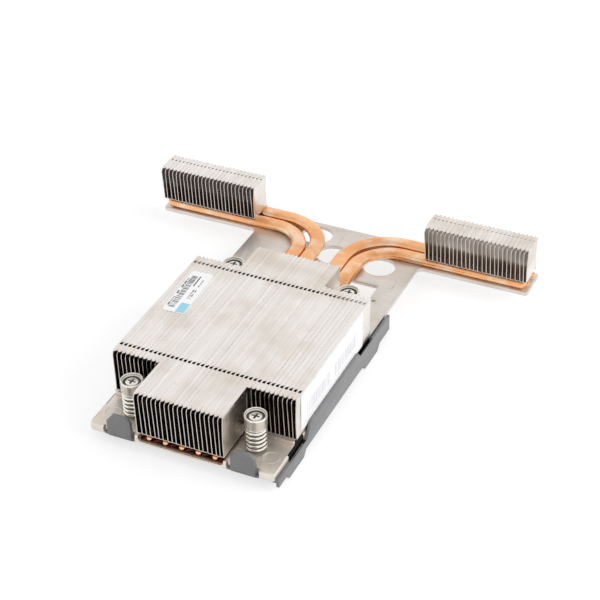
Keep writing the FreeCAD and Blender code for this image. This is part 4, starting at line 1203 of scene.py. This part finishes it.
# Operators
class HEATSINK_OT_finishes(bpy.types.Operator):
    """Build the shader node groups and the materials"""
    bl_idname = "heatsink.finishes"
    bl_label = "Finishes"

    def execute(self, context):
        build_grain_group()
        build_stain_group()
        build_opening_group()
        finish = context.scene.heatsink_finish
        tint = {name: tuple(getattr(finish, name)) for name in HeatsinkFinishSettings.__annotations__}
        fin, base, carrier, chrome = tint["fin"], tint["base"], tint["carrier"], tint["chrome"]
        clip, shaded_copper = tint["clip"], tint["copper_deep"]
        worn_fin, worn_plate = (0.72, 0.62, 0.50), (0.80, 0.75, 0.66)
        metal_material("Fin aluminium", fin, tinted(fin, worn_fin), (1.0, 0.03, 0.5), 2400.0, 0.29,
                       bump=0.10, smudge_size=34.0, deep=tint["fin_inside"])
        metal_material("Plated base", base, tinted(base, worn_plate), (1.0, 0.12, 1.0), 1500.0, 0.42,
                       metallic=0.72, shade_openings=True)
        metal_material("Brushed carrier", carrier, tinted(carrier, worn_plate), (0.05, 1.0, 1.0), 2100.0,
                       0.42, metallic=0.85, shade_openings=True)
        # The screws' recesses and shanks get the painted shade colour through the face attribute.
        metal_material("Screw nickel", chrome, scaled_tint(chrome, 0.75), (1.0, 1.0, 6.0), 1500.0, 0.21,
                       bump=0.05, smudge_size=160.0, deep=tint["soot"], metallic=0.68)
        metal_material("Spring nickel", chrome, scaled_tint(chrome, 0.85), EVEN, 1500.0, 0.17,
                       bump=0.05, smudge_size=160.0, metallic=0.88)
        metal_material("Spring steel", clip, scaled_tint(clip, 0.7), EVEN, 1800.0, 0.32)
        copper_material("Drawn copper", tint["copper"], tint["copper_dark"], 0.22, 60.0, 0.18)
        # Shade painted into the copper under the pipes: its colour is kept dark.
        copper_material("Milled copper", shaded_copper, scaled_tint(shaded_copper, 0.6), 0.14, 90.0, 0.05)
        plastic_material(tint["plastic"])
        label_material(tint["paper"])
        for name, ink in (("Bar ink", "ink"), ("Faint bar ink", "faint_ink"), ("Colour field ink", "field")):
            ink_material(name, tint[ink])
        return {"FINISHED"}


class HEATSINK_OT_fin_stacks(bpy.types.Operator):
    """Fold the fins of the five stacks"""
    bl_idname = "heatsink.fin_stacks"
    bl_label = "Fin stacks"

    def execute(self, context):
        settings = context.scene.heatsink_fins
        low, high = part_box("fin_stack_left")
        long_low, long_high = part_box("fin_stack_centre")
        pitch = (long_low.x - low.x) / settings.fins_short
        short_span = (low.y, high.y)
        ends = ((long_low.y, low.y), (high.y, long_high.y))
        locks = (low.y + settings.lock_inset, high.y - settings.lock_inset)
        build_fin_stack(context, "fin_stack_left", settings.fins_short, pitch, locks)
        build_fin_stack(context, "fin_stack_right", settings.fins_short - 1, pitch, locks, (short_span,))
        build_fin_stack(context, "fin_stack_centre", settings.fins_long, pitch, locks, ends, short_span)
        # Painted light in the wings' gaps: darker on the left wing, lighter on the right, where light
        # reaches further into the gaps.
        for node, inside in (("fin_stack_left_wing", 0.34), ("fin_stack_right_wing", 0.72)):
            low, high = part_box(node)
            pitch = (high.x - low.x - settings.closing_plate) / settings.wing_fins
            locks = (high.y - settings.wing_lock_inset,)
            build_fin_stack(context, node, settings.wing_fins, pitch, locks, ((low.y, high.y),),
                            scale=settings.wing_lock, inside=inside)
        return {"FINISHED"}


class HEATSINK_OT_heat_pipes(bpy.types.Operator):
    """Bend the five flattened heat pipes"""
    bl_idname = "heatsink.heat_pipes"
    bl_label = "Heat pipes"

    def execute(self, context):
        settings = context.scene.heatsink_pipes
        tip = settings.taper + settings.nib
        half = settings.height / 2
        centre_low, centre_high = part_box("heat_pipe_centre")
        low = centre_low.z + half
        rise_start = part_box("fin_stack_centre")[1].y + settings.rise_gap
        for side_name, side in (("left", -1), ("right", 1)):
            for lane_name, lanes in (("outer", 2), ("inner", 1)):
                node = "heat_pipe_%s_%s" % (side_name, lane_name)
                radius = settings.outer_radius if lane_name == "outer" else settings.inner_radius
                box_low, box_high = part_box(node)
                arm_lane = box_high.y - pipe_width(settings) / 2
                end = box_high.x - tip if side > 0 else box_low.x + tip
                path = pipe_path(settings, side, side * lanes * settings.pitch, low, box_high.z - half,
                                 box_low.y + tip, rise_start, arm_lane, radius, end)
                build_pipe(context, node, path)
        path = [(Vector((0, y, low)), Vector((0, 1, 0)), 0.0)
                for y in (centre_low.y + tip, -20 * MM, 20 * MM, centre_high.y - tip)]
        build_pipe(context, "heat_pipe_centre", path)
        return {"FINISHED"}


def stamp_rings(piece):
    """Two thin raised rings that the base's casting leaves near its front corners."""
    low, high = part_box("base_plate")
    ring, width, rise = 3.4 * MM, 0.4 * MM, 0.11 * MM
    inset_across, inset_along = 5.9 * MM, 9.9 * MM
    profile = [(ring - width, high.z - rise), (ring - width / 2, high.z + rise),
               (ring + width / 2, high.z + rise), (ring + width, high.z - rise)]
    work = bmesh.new()
    work.from_mesh(piece.data)
    for middle in (low.x + inset_across, high.x - inset_across):
        join_bmesh(work, lathe_mesh(profile, (middle, low.y + inset_along), 48))
    work.to_mesh(piece.data)
    work.free()


class HEATSINK_OT_plates(bpy.types.Operator):
    """Round the edges of the base, the carrier and the copper spreader"""
    bl_idname = "heatsink.plates"
    bl_label = "Plates"

    def execute(self, context):
        for node, name, width, slot, finish in (
                ("base_plate", "base_plate_body", 0.22, "plated_plate", "Plated base"),
                ("carrier_plate", "carrier_sheet", 0.18, "plated_plate", "Brushed carrier"),
                ("copper_spreader", "copper_slab", 0.15, "copper", "Milled copper")):
            piece = softened(node, name, width * MM)
            if node == "base_plate":
                stamp_rings(piece)
            finish_piece(piece, "root", slot, finish, node)
        return {"FINISHED"}


class HEATSINK_OT_screws(bpy.types.Operator):
    """Turn the four captive screws and place their clips"""
    bl_idname = "heatsink.screws"
    bl_label = "Screws"

    def execute(self, context):
        for place in SCREWS:
            build_screw(context, place)
            node = "retaining_clip_" + place
            clip = softened(node, "clip_ring_" + place, 0.12 * MM)
            finish_piece(clip, "clip_" + place, "clip_steel", "Spring steel", node)
        return {"FINISHED"}


class HEATSINK_OT_springs(bpy.types.Operator):
    """Coil the four springs"""
    bl_idname = "heatsink.springs"
    bl_label = "Springs"

    def execute(self, context):
        for place in SCREWS:
            build_spring(context, place)
        return {"FINISHED"}


class HEATSINK_OT_cover(bpy.types.Operator):
    """Mould the protective cover"""
    bl_idname = "heatsink.cover"
    bl_label = "Cover"

    def execute(self, context):
        settings = context.scene.heatsink_cover
        piece = softened("protective_cover", "cover_moulding", settings.rounding)
        low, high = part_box("base_plate")
        screw_across, _ = axis_of("captive_screw_front_right")
        for vertex in piece.data.vertices:
            place = vertex.co
            if abs(place.x) > high.x and place.y < settings.wall_drop_end and place.z > settings.wall_foot:
                place.z -= settings.wall_drop
            if place.x < -high.x:
                place.y = max(place.y, settings.left_wall_end)
            if abs(place.x) < high.x and place.y < low.y + settings.tab_depth:
                middle = math.copysign(screw_across, place.x)
                past_tab = abs(place.x - middle) - settings.tab_half
                if 0 < past_tab < settings.ear_width:
                    place.x -= math.copysign(past_tab * (1 - settings.ear_share), place.x - middle)
                if place.z > settings.tab_foot:
                    place.z -= settings.tab_drop
        finish_piece(piece, "root", "grey_plastic", "Moulded plastic", "protective_cover")
        return {"FINISHED"}


class HEATSINK_OT_labels(bpy.types.Operator):
    """Stick on the two labels, with generic bars and one colour field"""
    bl_idname = "heatsink.labels"
    bl_label = "Labels"

    def execute(self, context):
        for node in ("top_label", "side_label"):
            piece = softened(node, node + "_film", 0.03 * MM, 1)
            finish_piece(piece, "root", "label_paper", "Label film", node)
        print_top_label(context)
        print_side_label()
        return {"FINISHED"}


class HEATSINK_PT_panel(bpy.types.Panel):
    """Lists the heatsink's building steps and their settings"""
    bl_idname = "HEATSINK_PT_panel"
    bl_label = "Passive Heatsink"
    bl_space_type = "VIEW_3D"
    bl_region_type = "UI"
    bl_category = "Heatsink"

    def draw(self, context):
        layout = self.layout
        for operator in OPERATORS:
            layout.operator(operator.bl_idname)
        for name, group in SETTINGS:
            settings = getattr(context.scene, name)
            box = layout.box()
            box.label(text=group.__doc__)
            for size in group.__annotations__:
                box.prop(settings, size)


# Registering and running
OPERATORS = (
    HEATSINK_OT_stage,
    HEATSINK_OT_finishes,
    HEATSINK_OT_fin_stacks,
    HEATSINK_OT_heat_pipes,
    HEATSINK_OT_plates,
    HEATSINK_OT_screws,
    HEATSINK_OT_springs,
    HEATSINK_OT_cover,
    HEATSINK_OT_labels,
)
SETTINGS = (
    ("heatsink_fins", HeatsinkFinSettings),
    ("heatsink_pipes", HeatsinkPipeSettings),
    ("heatsink_screws", HeatsinkScrewSettings),
    ("heatsink_cover", HeatsinkCoverSettings),
    ("heatsink_labels", HeatsinkLabelSettings),
    ("heatsink_finish", HeatsinkFinishSettings),
    ("heatsink_stage", HeatsinkStageSettings),
)


def register():
    for name, group in SETTINGS:
        bpy.utils.register_class(group)
        setattr(bpy.types.Scene, name, PointerProperty(type=group))
    for operator in OPERATORS:
        bpy.utils.register_class(operator)
    bpy.utils.register_class(HEATSINK_PT_panel)


def unregister():
    bpy.utils.unregister_class(HEATSINK_PT_panel)
    for operator in reversed(OPERATORS):
        bpy.utils.unregister_class(operator)
    for name, group in reversed(SETTINGS):
        delattr(bpy.types.Scene, name)
        bpy.utils.unregister_class(group)


def main():
    register()
    bpy.ops.heatsink.stage()
    bpy.ops.heatsink.finishes()
    bpy.ops.heatsink.fin_stacks()
    bpy.ops.heatsink.heat_pipes()
    bpy.ops.heatsink.plates()
    bpy.ops.heatsink.screws()
    bpy.ops.heatsink.springs()
    bpy.ops.heatsink.cover()
    bpy.ops.heatsink.labels()


if __name__ == "__main__":
    main()
